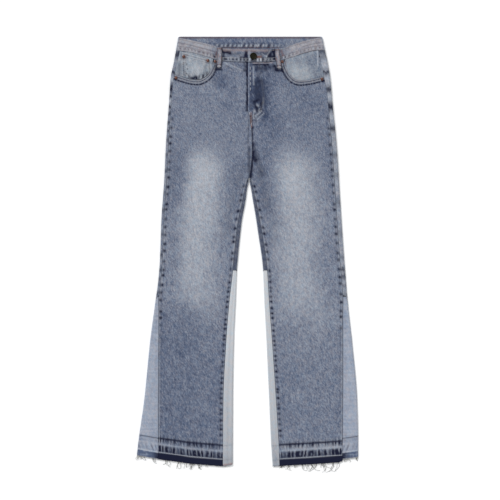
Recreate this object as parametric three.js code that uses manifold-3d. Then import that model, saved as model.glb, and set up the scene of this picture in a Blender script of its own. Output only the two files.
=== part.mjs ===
import * as THREE from 'three';
import { mergeVertices } from 'three/addons/utils/BufferGeometryUtils.js';
import Module from 'manifold-3d';

// Flared jeans lying flat on their back, front up. Millimetres, +Z up, +Y towards the waist.
// The wearer's left is on +X. "down" runs along -Y from the top edge of the back waistband,
// and "out" runs sideways from the centre line towards the wearer's left or right.

// Driving dimensions
const WALL = 1.3; // one layer of denim
const BAND_WALL = 2.6; // the folded waistband
const SEAM_GAP = 0.3; // clearance between pieces that are sewn together
const BAND_GAP = 0.7; // clearance below the waistband's curved seam
const BACK_LIFT = 1.6; // the seat lies on the pockets and loops sewn under it
const BACK_BAND = 33; // height of the back waistband
const BAND_TOP = 7.8; // height of the front waistband above the surface
const CROTCH = 361; // how far down the legs part
const OUTER_APEX = 655; // top of the triangles in the outseams
const INNER_TOP = 591; // top of the strips in the inseams
const TOP_ZONE = 150; // rows follow the waist down to here, then run level
const LAP = 38; // left waistband end and fly lie this far over the right
const FLY_END = 190; // foot of the fly
const BAND_ENDS = { left: -5, right: 8 - LAP }; // free ends of the waistband, along "out"
const FLY_LAP = { start: LAP - 5, end: LAP + 12, foot: FLY_END + 24 }; // where its rise settles
const BAND_LAP = { start: LAP - 2, end: LAP + 24 };
const HEM_LEVEL = 1065; // about where the legs end
const PUCKERS = 18; // puckers in each of the two rows of a front hem
const SEAM_PUCKERS = { start: 130, full: 190, last: 960, end: 1000, ridge: 0.35, dip: 0.25 };
const PASSES = 4; // rounds that bring a row of points onto its curved seam

// Both outlines, a row for each height: the silhouette's edge, and the width of the strip
// between it and the side seam of the front panel
const SIDES = {
  right: {
    sign: -1,
    outseam: [
      { down: 0, edge: 181.6, strip: 10 }, { down: 33, edge: 187.5, strip: 10.5 },
      { down: 58, edge: 192, strip: 9.5 }, { down: 109, edge: 201.9, strip: 7.5 },
      { down: 160, edge: 205, strip: 6 }, { down: 262, edge: 212.6, strip: 6 },
      { down: 363, edge: 217.7, strip: 6 }, { down: 465, edge: 225, strip: 6 },
      { down: 566, edge: 228.6, strip: 6 }, { down: 617, edge: 232.7, strip: 6.2 },
      { down: 655, edge: 237.7, strip: 6.8 }, { down: 700, edge: 244, strip: 12.7 },
      { down: 770, edge: 253.2, strip: 21.6 }, { down: 922, edge: 268.7, strip: 36.3 },
      { down: 1024, edge: 283.2, strip: 50.8 }, { down: 1090, edge: 290.5, strip: 58.5 },
    ],
    inseam: [
      { down: 361, edge: 2.3, strip: 3.4 }, { down: 389, edge: 8.1, strip: 4.8 },
      { down: 414, edge: 11.2, strip: 6.6 }, { down: 465, edge: 20.6, strip: 8.5 },
      { down: 516, edge: 26.4, strip: 9.4 }, { down: 566, edge: 31.2, strip: 9.6 },
      { down: 592, edge: 33.5, strip: 9.8 }, { down: 668, edge: 36.6, strip: 15.2 },
      { down: 770, edge: 41.1, strip: 19 }, { down: 922, edge: 43.7, strip: 23.9 },
      { down: 1090, edge: 44.2, strip: 24.6 },
    ],
    band: [
      { out: -LAP, top: 32, bottom: 65 }, { out: 0, top: 31.2, bottom: 64.8 },
      { out: 67, top: 30.2, bottom: 62 }, { out: 79, top: 27.5, bottom: 59.5 },
      { out: 90, top: 23.2, bottom: 56.8 }, { out: 122, top: 15.5, bottom: 46.8 },
      { out: 156, top: 8, bottom: 38.8 }, { out: 182, top: 2.4, bottom: 35.6 },
    ],
    pocketMouth: [
      { out: 91.6, down: 56 }, { out: 92.8, down: 64 }, { out: 95.4, down: 78 },
      { out: 101.4, down: 91 }, { out: 109.2, down: 100.3 }, { out: 119.4, down: 107.2 },
      { out: 132, down: 111.3 }, { out: 147.3, down: 110.2 }, { out: 162.6, down: 106.2 },
      { out: 195, down: 95.4 },
    ],
    hem: [
      { out: 44, down: 1084.6 }, { out: 69, down: 1088 }, { out: 150, down: 1081.5 },
      { out: 232, down: 1070 }, { out: 289, down: 1060 },
    ],
  },
  left: {
    sign: 1,
    outseam: [
      { down: 0, edge: 182.6, strip: 14 }, { down: 33, edge: 189.7, strip: 16 },
      { down: 58, edge: 195.3, strip: 16.5 }, { down: 109, edge: 204, strip: 14.5 },
      { down: 160, edge: 208.3, strip: 11 }, { down: 262, edge: 218.4, strip: 11 },
      { down: 363, edge: 225.6, strip: 11 }, { down: 465, edge: 232.2, strip: 11 },
      { down: 566, edge: 239.3, strip: 10.5 }, { down: 617, edge: 243.3, strip: 10 },
      { down: 655, edge: 246.2, strip: 10.4 }, { down: 700, edge: 250.6, strip: 15 },
      { down: 770, edge: 258.6, strip: 22.9 }, { down: 922, edge: 271.8, strip: 36.3 },
      { down: 1024, edge: 274.3, strip: 39.6 }, { down: 1090, edge: 274.4, strip: 40.6 },
    ],
    inseam: [
      { down: 361, edge: -2.3, strip: 3.4 }, { down: 389, edge: 3, strip: 5 },
      { down: 414, edge: 7.1, strip: 7 }, { down: 465, edge: 15.7, strip: 8.5 },
      { down: 516, edge: 23.4, strip: 9.8 }, { down: 566, edge: 30.5, strip: 10.4 },
      { down: 592, edge: 33, strip: 10.7 }, { down: 668, edge: 36.3, strip: 11.9 },
      { down: 770, edge: 41.7, strip: 14.2 }, { down: 922, edge: 48.8, strip: 17.3 },
      { down: 1024, edge: 53.3, strip: 19 }, { down: 1090, edge: 57.6, strip: 17.4 },
    ],
    band: [
      { out: -5, top: 31.2, bottom: 64.8 }, { out: 40, top: 32, bottom: 64.2 },
      { out: 60, top: 31.6, bottom: 62.6 }, { out: 80, top: 29, bottom: 59.8 },
      { out: 110, top: 19.5, bottom: 50.8 }, { out: 142, top: 10.2, bottom: 40.8 },
      { out: 166, top: 4.5, bottom: 35.2 }, { out: 183, top: 1.4, bottom: 33.4 },
    ],
    pocketMouth: [
      { out: 86.4, down: 57 }, { out: 87.8, down: 65 }, { out: 91, down: 78.5 },
      { out: 97, down: 91.2 }, { out: 104.4, down: 101.6 }, { out: 114.3, down: 109.6 },
      { out: 127, down: 112.6 }, { out: 147.3, down: 110.6 }, { out: 167.6, down: 106.2 },
      { out: 192, down: 99.8 },
    ],
    hem: [
      { out: 57, down: 1088 }, { out: 76, down: 1087 }, { out: 150, down: 1083 },
      { out: 226.5, down: 1078 }, { out: 234, down: 1070.4 }, { out: 275, down: 1064.8 },
    ],
  },
};

// The centre seam wanders a little: its place in X at each height
const CENTRE_SEAM = [
  { down: 60, x: -5 }, { down: 187, x: -5 }, { down: 205, x: -1 }, { down: 262, x: 4.8 },
  { down: 292, x: 4.8 }, { down: 335, x: 1.8 }, { down: CROTCH, x: -2.3 },
];

// Heights of the outer faces above the surface: the underside of the back and the top of the front
const LAYERS = [
  { down: 0, under: BACK_LIFT, over: 7.2 }, { down: 320, under: BACK_LIFT, over: 7 },
  { down: 385, under: 0, over: 5.6 }, { down: 600, under: 0, over: 5 },
  { down: 1100, under: 0, over: 5 },
];

// Largest soft folds of the front: from one end to the other, half width and height
const FOLDS = [
  { side: 'right', out: 72, down: 92, toOut: 24, toDown: 71, width: 7, height: 0.9 },
  { side: 'right', out: 60, down: 150, toOut: 14, toDown: 215, width: 9, height: 0.6 },
  { side: 'right', out: 24, down: 310, toOut: 92, toDown: 372, width: 11, height: 0.8 },
  { side: 'right', out: 205, down: 652, toOut: 150, toDown: 700, width: 12, height: 0.8 },
  { side: 'right', out: 66, down: 640, toOut: 130, toDown: 668, width: 11, height: 0.6 },
  { side: 'left', out: 22, down: 250, toOut: 66, toDown: 312, width: 9, height: 0.9 },
  { side: 'left', out: 26, down: 318, toOut: 40, toDown: 430, width: 9, height: 0.7 },
  { side: 'left', out: 90, down: 132, toOut: 62, toDown: 205, width: 9, height: 0.6 },
  { side: 'left', out: 214, down: 648, toOut: 165, toDown: 690, width: 12, height: 0.8 },
  { side: 'left', out: 76, down: 560, toOut: 140, toDown: 596, width: 11, height: 0.6 },
];

// A front hem seen from its raw edge up: distance above the edge, and how far the line across
// the hem stands proud; "pucker" is the height of the gathers that run over it
const HEM_LINES = [
  { above: 62, proud: 0, pucker: 0 }, { above: 55, proud: 0.2, pucker: 0 },
  { above: 52.5, proud: -0.3, pucker: 0 }, { above: 46, proud: 0.1, pucker: 0.45 },
  { above: 37.5, proud: 0.5, pucker: 0.1 }, { above: 27, proud: 0.1, pucker: 0.5 },
  { above: 15, proud: -0.3, pucker: 0 }, { above: 0, proud: 0, pucker: 0 },
];

// Columns of a front panel, as parts of its width from the outseam to the centre
const FRONT_COLUMNS = [0, 0.09, 0.17, 0.25, 0.33, 0.4, 0.45, 0.48, 0.505, 0.52, 0.68, 0.8, 0.92, 1];
const LEVEL_ROWS = [
  150, 172, 190, 214, 240, 268, 294, 318, 342, 358, 361, 364, 367, 370, 373, 389, 414, 440, 465, 490,
  516, 541, 566, 591, 617, 640, 655, 672, 690, 716, 745, 790, 840, 890, 940, 985,
];

// Metal pieces: profiles of [radius, height] that start and end on the axis
const RIVET_PROFILE = [[0, 0], [3.8, 0], [3.8, 0.7], [2.28, 1.4], [0, 1.6]];
const RIVETS = [
  { name: 'rivet_coin_outer', side: 'right', out: 167.6, down: 51, seat: 9.15 },
  { name: 'rivet_coin_inner', side: 'right', out: 106.5, down: 61.5, seat: 9.15 },
  { name: 'rivet_mouth_outer_right', side: 'right', out: 187.2, down: 105.2, seat: 7.2 },
  { name: 'rivet_mouth_inner_right', side: 'right', out: 88.2, down: 63.4, seat: 7.2 },
  { name: 'rivet_mouth_outer_left', side: 'left', out: 182.6, down: 108, seat: 7.2 },
  { name: 'rivet_mouth_inner_left', side: 'left', out: 82.4, down: 64, seat: 7.2 },
];

const BUTTON = { x: 8.6, down: 50.5 };
const BUTTON_PROFILE = [
  [0, 0], [4.45, 0], [5.34, 1.6], [8.9, 2], [8.9, 3.2], [7.65, 4.2], [5.87, 3.3], [0, 3.7],
];

// A front loop's height under its strip, from its upper to its lower end
const LOOP = { width: 12, wall: 2, crown: 0.3, backTop: 2, backLength: 50 };
const LOOP_PROFILE = [
  { share: 0, under: 8.1 }, { share: 0.15, under: 8.8 }, { share: 0.4, under: 9.3 },
  { share: 0.66, under: 8.8 }, { share: 0.84, under: 7.9 }, { share: 1, under: 7.5 },
];
const FRONT_LOOPS = [
  { side: 'right', out: 76.3, down: 28.4, toOut: 78.4, toDown: 80 },
  { side: 'left', out: 67.4, down: 31.6, toOut: 74.6, toDown: 82.5 },
];
const BACK_LOOPS = [
  { name: 'belt_loop_back_left', x: 112 },
  { name: 'belt_loop_back_centre', x: 0 },
  { name: 'belt_loop_back_right', x: -112 },
];

const BACK_POCKET = { out: 98, down: 122, width: 150, foot: 128, side: 138, point: 160 };

// The facing goes on under the pocket mouth by "tuck", and sinks from dipStart to dipEnd above it
const FACING = { inward: 2, tuck: 9, dipStart: 24, dipEnd: 2 };
const COIN = { outer: 173, inner: 104, outerTop: 38.8, innerTop: 57.6, clear: 2.6, hem: 0.3 };

// Yokes end level round the outer edge and then fall towards the centre back
const YOKE = { side: 80, centre: 112, levelTurn: 0.6 };

// How much later than the back panel's edge each gusset turns under it
const OUTER_LATE = 1.2;
const INNER_LATE = 0.8;

const FRINGE = {
  strip: 1.8, // width of the loose weave
  inset: 1.5,
  radius: 0.42,
  lean: 0.9,
  front: { strands: 44, low: 3.7, high: 5, length: 7, more: 15, tip: 2.1 },
  back: { strands: 24, low: 0.25, high: WALL, length: 5, more: 9, tip: 0.775 },
};

// Colours, sRGB
const FINISH = {
  denim: { color: 0x747d90, roughness: 0.92, metalness: 0 },
  facing: { color: 0x959ba5, roughness: 0.92, metalness: 0 },
  lightDenim: { color: 0xa0a5b1, roughness: 0.92, metalness: 0 },
  canvas: { color: 0xc0c3c6, roughness: 0.94, metalness: 0 },
  thread: { color: 0xcfccc2, roughness: 0.95, metalness: 0 },
  copper: { color: 0xa8745a, roughness: 0.4, metalness: 0.9 },
  darkMetal: { color: 0x3c3a36, roughness: 0.45, metalness: 0.9 },
};

// Smooth value of one column of a table, without overshoot between its rows
function read(table, along, column, place) {
  const last = table.length - 1;
  if (place <= table[0][along]) return table[0][column];
  if (place >= table[last][along]) return table[last][column];
  let row = 0;
  while (table[row + 1][along] < place) row += 1;
  const slope = (at) => (table[at + 1][column] - table[at][column])
    / (table[at + 1][along] - table[at][along]);
  const blend = (a, b) => (a * b > 0 ? (2 * a * b) / (a + b) : 0);
  const here = slope(row);
  const start = row > 0 ? blend(slope(row - 1), here) : here;
  const end = row + 1 < last ? blend(here, slope(row + 1)) : here;
  const span = table[row + 1][along] - table[row][along];
  const part = (place - table[row][along]) / span;
  const rest = 1 - part;
  return table[row][column] * rest * rest * (1 + 2 * part)
    + table[row + 1][column] * part * part * (1 + 2 * rest)
    + span * part * rest * (start * rest - end * part);
}

const mix = (a, b, part) => a + (b - a) * part;

// 0 before start, 1 after end, smooth between
function ease(start, end, place) {
  const part = Math.min(Math.max((place - start) / (end - start), 0), 1);
  return part * part * (3 - 2 * part);
}

const edgeOf = (side, seam, down) => read(SIDES[side][seam], 'down', 'edge', down);
const stripOf = (side, seam, down) => read(SIDES[side][seam], 'down', 'strip', down);

// The raw hem runs straight from one row of its table to the next
function hemAt(side, out) {
  const { hem } = SIDES[side];
  let row = 0;
  while (row + 2 < hem.length && hem[row + 1].out < out) row += 1;
  const part = (out - hem[row].out) / (hem[row + 1].out - hem[row].out);
  return hem[row].down + (hem[row + 1].down - hem[row].down) * part;
}

const underAt = (down) => read(LAYERS, 'down', 'under', down);
const overAt = (down) => read(LAYERS, 'down', 'over', down);
const bandEdge = (side, out, which) => read(SIDES[side].band, 'out', which, out);
const mouthAt = (side, out) => read(SIDES[side].pocketMouth, 'out', 'down', out);
const centreOut = (side, down) => SIDES[side].sign * read(CENTRE_SEAM, 'down', 'x', down);

// A point of the garment in the scene's axes
const place = (side, out, down, height) => [SIDES[side].sign * out, -down, height];

// How far soft folds, the fly's lap and the seam puckers raise the front at one point
function relief(side, out, down) {
  let height = 0;
  for (const fold of FOLDS) {
    if (fold.side !== side) continue;
    const runOut = fold.toOut - fold.out;
    const runDown = fold.toDown - fold.down;
    const length = Math.hypot(runOut, runDown);
    const along = ((out - fold.out) * runOut + (down - fold.down) * runDown) / length;
    const across = ((out - fold.out) * runDown - (down - fold.down) * runOut) / length;
    const fade = ease(-fold.width, fold.width, along) * ease(-fold.width, fold.width, length - along);
    height += fold.height * fade * Math.exp(-((across / fold.width) ** 2));
  }
  if (side === 'left') {
    const beside = 1 - ease(FLY_LAP.start, FLY_LAP.end, out);
    const above = 1 - ease(FLY_END, FLY_LAP.foot, down);
    height += (WALL + SEAM_GAP) * beside * above;
  }
  return height;
}

// A closed body from rows of paired points: the outer face, the inner face and the cut edges.
// A point's "at" says where it lies along its row, so rows may differ in their number of points.
function sheetBody(rows) {
  const positions = [];
  const numbered = rows.map((row) => row.map((point) => {
    const outer = positions.length / 3;
    positions.push(...point.outer, ...point.inner);
    return { at: point.at, outer, inner: outer + 1 };
  }));
  const faces = [];
  const face = (a, b, c) => {
    faces.push(a.outer, b.outer, c.outer);
    faces.push(c.inner, b.inner, a.inner);
  };
  const wall = (a, b) => {
    faces.push(a.outer, b.outer, b.inner);
    faces.push(a.outer, b.inner, a.inner);
  };
  for (let row = 0; row + 1 < numbered.length; row += 1) {
    const upper = numbered[row];
    const lower = numbered[row + 1];
    let i = 0;
    let j = 0;
    while (i + 1 < upper.length || j + 1 < lower.length) {
      const lowerDone = j + 1 === lower.length;
      if (lowerDone || (i + 1 < upper.length && upper[i + 1].at <= lower[j + 1].at)) {
        face(upper[i], lower[j], upper[i + 1]);
        i += 1;
      } else {
        face(upper[i], lower[j], lower[j + 1]);
        j += 1;
      }
    }
    wall(lower[0], upper[0]);
    wall(upper[upper.length - 1], lower[lower.length - 1]);
  }
  const first = numbered[0];
  const final = numbered[numbered.length - 1];
  for (let i = 0; i + 1 < first.length; i += 1) wall(first[i], first[i + 1]);
  for (let i = 0; i + 1 < final.length; i += 1) wall(final[i + 1], final[i]);
  return solidGeometry(positions, faces);
}

// Geometry of a closed body, turned so that its faces point out
function solidGeometry(positions, faces) {
  const corner = (index) => new THREE.Vector3().fromArray(positions, index * 3);
  let volume = 0;
  for (let i = 0; i < faces.length; i += 3) {
    volume += corner(faces[i]).dot(corner(faces[i + 1]).cross(corner(faces[i + 2])));
  }
  if (volume < 0) faces.reverse();
  const geometry = new THREE.BufferGeometry();
  geometry.setAttribute('position', new THREE.Float32BufferAttribute(positions, 3));
  geometry.setIndex(faces);
  return geometry;
}

// A section of one side runs round as a flattened ring, counted in turns: up to 0 on the front at
// the outseam, 0 to 1 round the outer edge, 1 to 2 along the underside, 2 to 3 round the inner
// edge or up to the centre seam, and past 3 on the front at the inseam
const FRONT_UNIT = 100; // millimetres of the front for one turn

function section(side, down) {
  const low = underAt(down);
  const radius = (overAt(down) - low) / 2;
  const outerBend = edgeOf(side, 'outseam', down) - radius;
  const joined = down < CROTCH;
  const inner = joined ? centreOut(side, down) + SEAM_GAP / 2 : edgeOf(side, 'inseam', down);
  const innerBend = joined ? inner : inner + radius;
  return { low, radius, outerBend, innerBend };
}

// One point of the ring, with the wall's inner face behind it
function ringPoint(side, down, turn, lift = 0) {
  const { low, radius, outerBend, innerBend } = section(side, down);
  let out = mix(outerBend, innerBend, turn - 1);
  let angle = -Math.PI / 2;
  if (turn < 0) out = outerBend + turn * FRONT_UNIT;
  if (turn > 3) out = innerBend + (turn - 3) * FRONT_UNIT;
  if (turn < 0 || turn > 3) angle = Math.PI / 2;
  if (turn >= 0 && turn < 1) {
    out = outerBend;
    angle = Math.PI * (0.5 - turn);
  }
  if (turn > 2 && turn <= 3) {
    out = innerBend;
    angle = -Math.PI * (turn - 1.5);
  }
  const bent = (turn >= 0 && turn < 1) || (turn > 2 && turn <= 3);
  const wide = bent ? Math.cos(angle) : 0;
  const high = Math.sin(angle);
  const raise = turn < 0 || turn > 3 ? lift : 0;
  const at = (reach) => place(side, out + wide * reach, down, low + radius + high * reach + raise);
  return { at: turn, outer: at(radius), inner: at(radius - WALL) };
}

// Moves a place on the ring by some millimetres
function shiftTurn(side, down, turn, distance) {
  const { radius, outerBend, innerBend } = section(side, down);
  if (turn < 0 || turn >= 3) return turn + distance / FRONT_UNIT;
  if (turn >= 1 && turn <= 2) return turn + distance / (outerBend - innerBend);
  return turn + distance / (Math.PI * radius);
}

// Where the back panel ends on the ring, on its outer and inner side
const APEX_STEPS = [
  { after: 4, turn: 0 }, { after: 11, turn: 0.25 }, { after: 18, turn: 0.5 },
  { after: 25, turn: 0.75 }, { after: 32, turn: 1 },
];
const APEX_LENGTH = 38;
const INNER_STEPS = [
  { after: 1.2, turn: 3 }, { after: 3, turn: 2.67 }, { after: 4.8, turn: 2.33 }, { after: 6.6, turn: 2 },
];
const INNER_LENGTH = 8;
const CROTCH_STEPS = [
  { after: 0, turn: 2 }, { after: 3, turn: 2.33 }, { after: 6, turn: 2.67 }, { after: 9, turn: 3 },
];
const CROTCH_LENGTH = 12;

function stepTurn(steps, length, startTurn, endTurn, after) {
  const path = [{ after: -1e-6, turn: startTurn }, ...steps, { after: length, turn: endTurn }];
  if (after <= path[0].after) return startTurn;
  let step = 0;
  while (step + 2 < path.length && path[step + 1].after < after) step += 1;
  const span = path[step + 1].after - path[step].after;
  const part = Math.min(Math.max((after - path[step].after) / span, 0), 1);
  return mix(path[step].turn, path[step + 1].turn, part);
}

function backOuterTurn(side, down) {
  const { radius, outerBend, innerBend } = section(side, down);
  const reach = stripOf(side, 'outseam', down) - radius;
  const onFront = -reach / FRONT_UNIT;
  const below = 1 + reach / (outerBend - innerBend);
  return stepTurn(APEX_STEPS, APEX_LENGTH, onFront, below, down - OUTER_APEX);
}

function backInnerTurn(side, down) {
  if (down < CROTCH) return 2;
  const { radius, outerBend, innerBend } = section(side, down);
  const reach = stripOf(side, 'inseam', down) - radius;
  const onFront = 3 + reach / FRONT_UNIT;
  const below = 2 - reach / (outerBend - innerBend);
  if (down < INNER_TOP) {
    return stepTurn(CROTCH_STEPS, CROTCH_LENGTH, 2, onFront, down - CROTCH);
  }
  return stepTurn(INNER_STEPS, INNER_LENGTH, onFront, below, down - INNER_TOP);
}

// Turns of a ring row between two ends: the ends themselves and the fixed bends between them
const BENDS = [0, 0.33, 0.67, 1, 1.5, 2, 2.33, 2.67, 3];
const CLEAR_OF_BEND = 0.02;

function turnsBetween(start, end) {
  const between = BENDS.filter((turn) => turn > start + CLEAR_OF_BEND && turn < end - CLEAR_OF_BEND);
  return [start, ...between, end];
}

// Puckers along the side seams, a ridge on every other row
function seamPucker(rowIndex, down) {
  const { start, full, last, end, ridge, dip } = SEAM_PUCKERS;
  const along = ease(start, full, down) * (1 - ease(last, end, down));
  return along * (rowIndex % 2 === 0 ? ridge : -dip);
}

// Front panels
function frontInner(side, down) {
  if (down >= CROTCH) {
    return edgeOf(side, 'inseam', down) + stripOf(side, 'inseam', down) + SEAM_GAP / 2;
  }
  const seam = centreOut(side, down) + SEAM_GAP / 2;
  if (side === 'left') return seam;
  return mix(BAND_ENDS.right, seam, ease(FLY_END - 20, FLY_END, down));
}

function frontOuter(side, down) {
  return edgeOf(side, 'outseam', down) - stripOf(side, 'outseam', down) - SEAM_GAP / 2;
}

function frontTop(side, out) {
  const underBand = bandEdge(side, out, 'bottom') + BAND_GAP;
  const mouth = SIDES[side].pocketMouth;
  return out > mouth[0].out ? Math.max(underBand, mouthAt(side, out)) : underBand;
}

function frontPoint(side, out, down, part, raise) {
  const height = overAt(down) + relief(side, out, down);
  return {
    at: part,
    outer: place(side, out, down, height + raise),
    inner: place(side, out, down, height - WALL),
  };
}

function frontPanel(side) {
  const rows = [];
  const columnOut = (part, down) => mix(frontOuter(side, down), frontInner(side, down), part);
  const settle = (part, rough, follow) => {
    let down = rough;
    for (let pass = 0; pass < PASSES; pass += 1) down = follow(columnOut(part, down));
    return down;
  };
  const topShares = [0, 0.12, 0.32, 0.64];
  for (const share of topShares) {
    const follow = (out) => mix(frontTop(side, out), TOP_ZONE, share);
    rows.push(FRONT_COLUMNS.map((part) => {
      const down = settle(part, TOP_ZONE, follow);
      return frontPoint(side, columnOut(part, down), down, part, 0);
    }));
  }
  LEVEL_ROWS.forEach((down, index) => {
    rows.push(FRONT_COLUMNS.map((part) => {
      const atOutseam = part === 0;
      const atInseam = part === 1 && down > CROTCH + 20;
      const raise = atOutseam || atInseam ? seamPucker(index, down) : 0;
      return frontPoint(side, columnOut(part, down), down, part, raise);
    }));
  });
  const fine = 2 * PUCKERS;
  HEM_LINES.forEach((line, index) => {
    const parts = index === 0
      ? FRONT_COLUMNS
      : Array.from({ length: fine + 1 }, (unused, column) => column / fine);
    rows.push(parts.map((part, column) => {
      const down = settle(part, HEM_LEVEL, (out) => hemAt(side, out) - line.above);
      const ridge = column % 2 === 0 ? -1 : 1;
      const uneven = 0.75 + 0.25 * Math.sin(column * 2.3 + index);
      const raise = line.proud + line.pucker * ridge * uneven;
      return frontPoint(side, columnOut(part, down), down, part, raise);
    }));
  });
  return sheetBody(rows);
}

// Back panels and yokes, which roll round the outer edge onto the front
const yokeFoot = (turn) => mix(YOKE.side, YOKE.centre, ease(YOKE.levelTurn, 2, turn));

function yokeTop(side, turn) {
  const { outerBend } = section(side, BACK_BAND);
  const out = outerBend + Math.min(turn, 0) * FRONT_UNIT;
  const frontDown = bandEdge(side, out, 'bottom');
  return mix(frontDown, BACK_BAND, Math.min(Math.max(turn, 0), 1)) + BAND_GAP;
}

function backYoke(side) {
  const shares = [0, 0.5, 1];
  const rows = shares.map((share) => {
    const rough = mix(BACK_BAND, YOKE.side, share);
    return turnsBetween(backOuterTurn(side, rough), 2).map((turn) => {
      const down = mix(yokeTop(side, turn), yokeFoot(turn), share);
      const seat = turn < 0 ? backOuterTurn(side, down) : turn;
      return { ...ringPoint(side, down, seat), at: turn };
    });
  });
  return sheetBody(rows);
}

const SEAM_STEPS = [
  ...APEX_STEPS.map((step) => OUTER_APEX + step.after), OUTER_APEX + APEX_LENGTH,
  ...INNER_STEPS.map((step) => INNER_TOP + step.after), INNER_TOP + INNER_LENGTH,
];
const besideSteps = (down) => !(down > OUTER_APEX && down < OUTER_APEX + APEX_LENGTH);

// Rows of the hem end of a piece that runs round the ring
const HEM_ROWS = [53, 26, 0];

function ringRow(side, down, start, end, lift = 0) {
  return turnsBetween(start, end).map((turn) => ringPoint(side, down, turn, lift));
}

function hemRow(side, above, startAt, endAt) {
  const turns = turnsBetween(startAt(HEM_LEVEL), endAt(HEM_LEVEL));
  return turns.map((turn, index) => {
    const out = ringPoint(side, HEM_LEVEL, turn).outer[0] * SIDES[side].sign;
    const down = hemAt(side, out) - above;
    let seat = turn;
    if (index === 0) seat = startAt(down);
    if (index === turns.length - 1) seat = endAt(down);
    return { ...ringPoint(side, down, seat), at: turn };
  });
}

function backPanel(side) {
  const topShares = [0, 0.25, 0.42, 0.6, 0.8];
  const rows = topShares.map((share) => {
    const rough = mix(yokeFoot(0), TOP_ZONE, share);
    return turnsBetween(backOuterTurn(side, rough), 2).map((turn) => {
      const down = mix(yokeFoot(turn) + SEAM_GAP, TOP_ZONE, share);
      return ringPoint(side, down, turn < 0 ? backOuterTurn(side, down) : turn);
    });
  });
  const levels = [...LEVEL_ROWS.filter(besideSteps), ...SEAM_STEPS].sort((a, b) => a - b);
  for (const down of levels) {
    const lift = LEVEL_ROWS.includes(down) ? seamPucker(LEVEL_ROWS.indexOf(down), down) : 0;
    rows.push(ringRow(side, down, backOuterTurn(side, down), backInnerTurn(side, down), lift));
  }
  for (const above of HEM_ROWS) {
    rows.push(hemRow(side, above,
      (down) => backOuterTurn(side, down), (down) => backInnerTurn(side, down)));
  }
  return sheetBody(rows);
}

// Gussets follow the back panel's edge a little further down the leg
function gussetRows(side, steps, start, end) {
  const last = steps[steps.length - 1];
  const downs = [...steps, ...LEVEL_ROWS.filter((down) => down > last)];
  const rows = downs.map((down) => ringRow(side, down, start(down), end(down)));
  for (const above of HEM_ROWS) rows.push(hemRow(side, above, start, end));
  return rows;
}

function outerGusset(side) {
  const start = (down) => {
    const { radius } = section(side, down);
    return -(stripOf(side, 'outseam', down) - radius - SEAM_GAP / 2) / FRONT_UNIT;
  };
  const end = (down) => {
    const turn = backOuterTurn(side, down - OUTER_LATE);
    return shiftTurn(side, down, turn, -SEAM_GAP / 2);
  };
  const steps = [...APEX_STEPS.map((step) => step.after), APEX_LENGTH];
  const downs = steps.map((after) => OUTER_APEX + after + OUTER_LATE);
  return sheetBody(gussetRows(side, downs, start, end));
}

function innerGusset(side) {
  const end = (down) => {
    const { radius } = section(side, down);
    return 3 + (stripOf(side, 'inseam', down) - radius - SEAM_GAP / 2) / FRONT_UNIT;
  };
  const start = (down) => {
    const turn = backInnerTurn(side, down - INNER_LATE);
    return shiftTurn(side, down, turn, SEAM_GAP / 2);
  };
  const steps = [...INNER_STEPS.map((step) => step.after), INNER_LENGTH];
  const downs = steps.map((after) => INNER_TOP + after + INNER_LATE);
  return sheetBody(gussetRows(side, downs, start, end));
}

// The facing dips from the level of the side seam and waistband to pass under the pocket mouth
function facingTop(side, out, down) {
  const dip = ease(-FACING.dipStart, -FACING.dipEnd, down - mouthAt(side, out));
  return overAt(down) - (WALL + SEAM_GAP) * dip;
}

function pocketFacing(side) {
  const innermost = SIDES[side].pocketMouth[0].out + FACING.inward;
  const shares = [0, 0.25, 0.5, 0.75, 0.9, 1];
  const parts = [0, 0.15, 0.3, 0.45, 0.6, 0.75, 0.88, 1];
  const rows = shares.map((share) => parts.map((part) => {
    let out = innermost;
    let down = BACK_BAND;
    for (let pass = 0; pass < PASSES; pass += 1) {
      out = mix(frontOuter(side, down), innermost, part);
      const top = bandEdge(side, out, 'bottom') + BAND_GAP;
      down = mix(top, mouthAt(side, out) + FACING.tuck, share);
    }
    const height = facingTop(side, out, down);
    return {
      at: part,
      outer: place(side, out, down, height),
      inner: place(side, out, down, height - WALL),
    };
  }));
  return sheetBody(rows);
}

function coinPocket() {
  const side = 'right';
  const { outer, inner, outerTop, innerTop, clear } = COIN;
  const parts = [0, 0.17, 0.34, 0.5, 0.6, 0.7, 0.8, 0.9, 1];
  const hemShare = 0.12;
  const shares = [0, hemShare, 0.5, 0.8, 1];
  const rows = shares.map((share) => parts.map((part) => {
    const out = mix(outer, inner, part);
    const top = mix(outerTop, innerTop, part);
    const down = mix(top, mouthAt(side, out) - clear, share);
    const height = facingTop(side, out, down) + SEAM_GAP;
    const hem = share === hemShare ? COIN.hem : 0;
    return {
      at: part,
      outer: place(side, out, down, height + WALL + hem),
      inner: place(side, out, down, height),
    };
  }));
  return sheetBody(rows);
}

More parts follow.
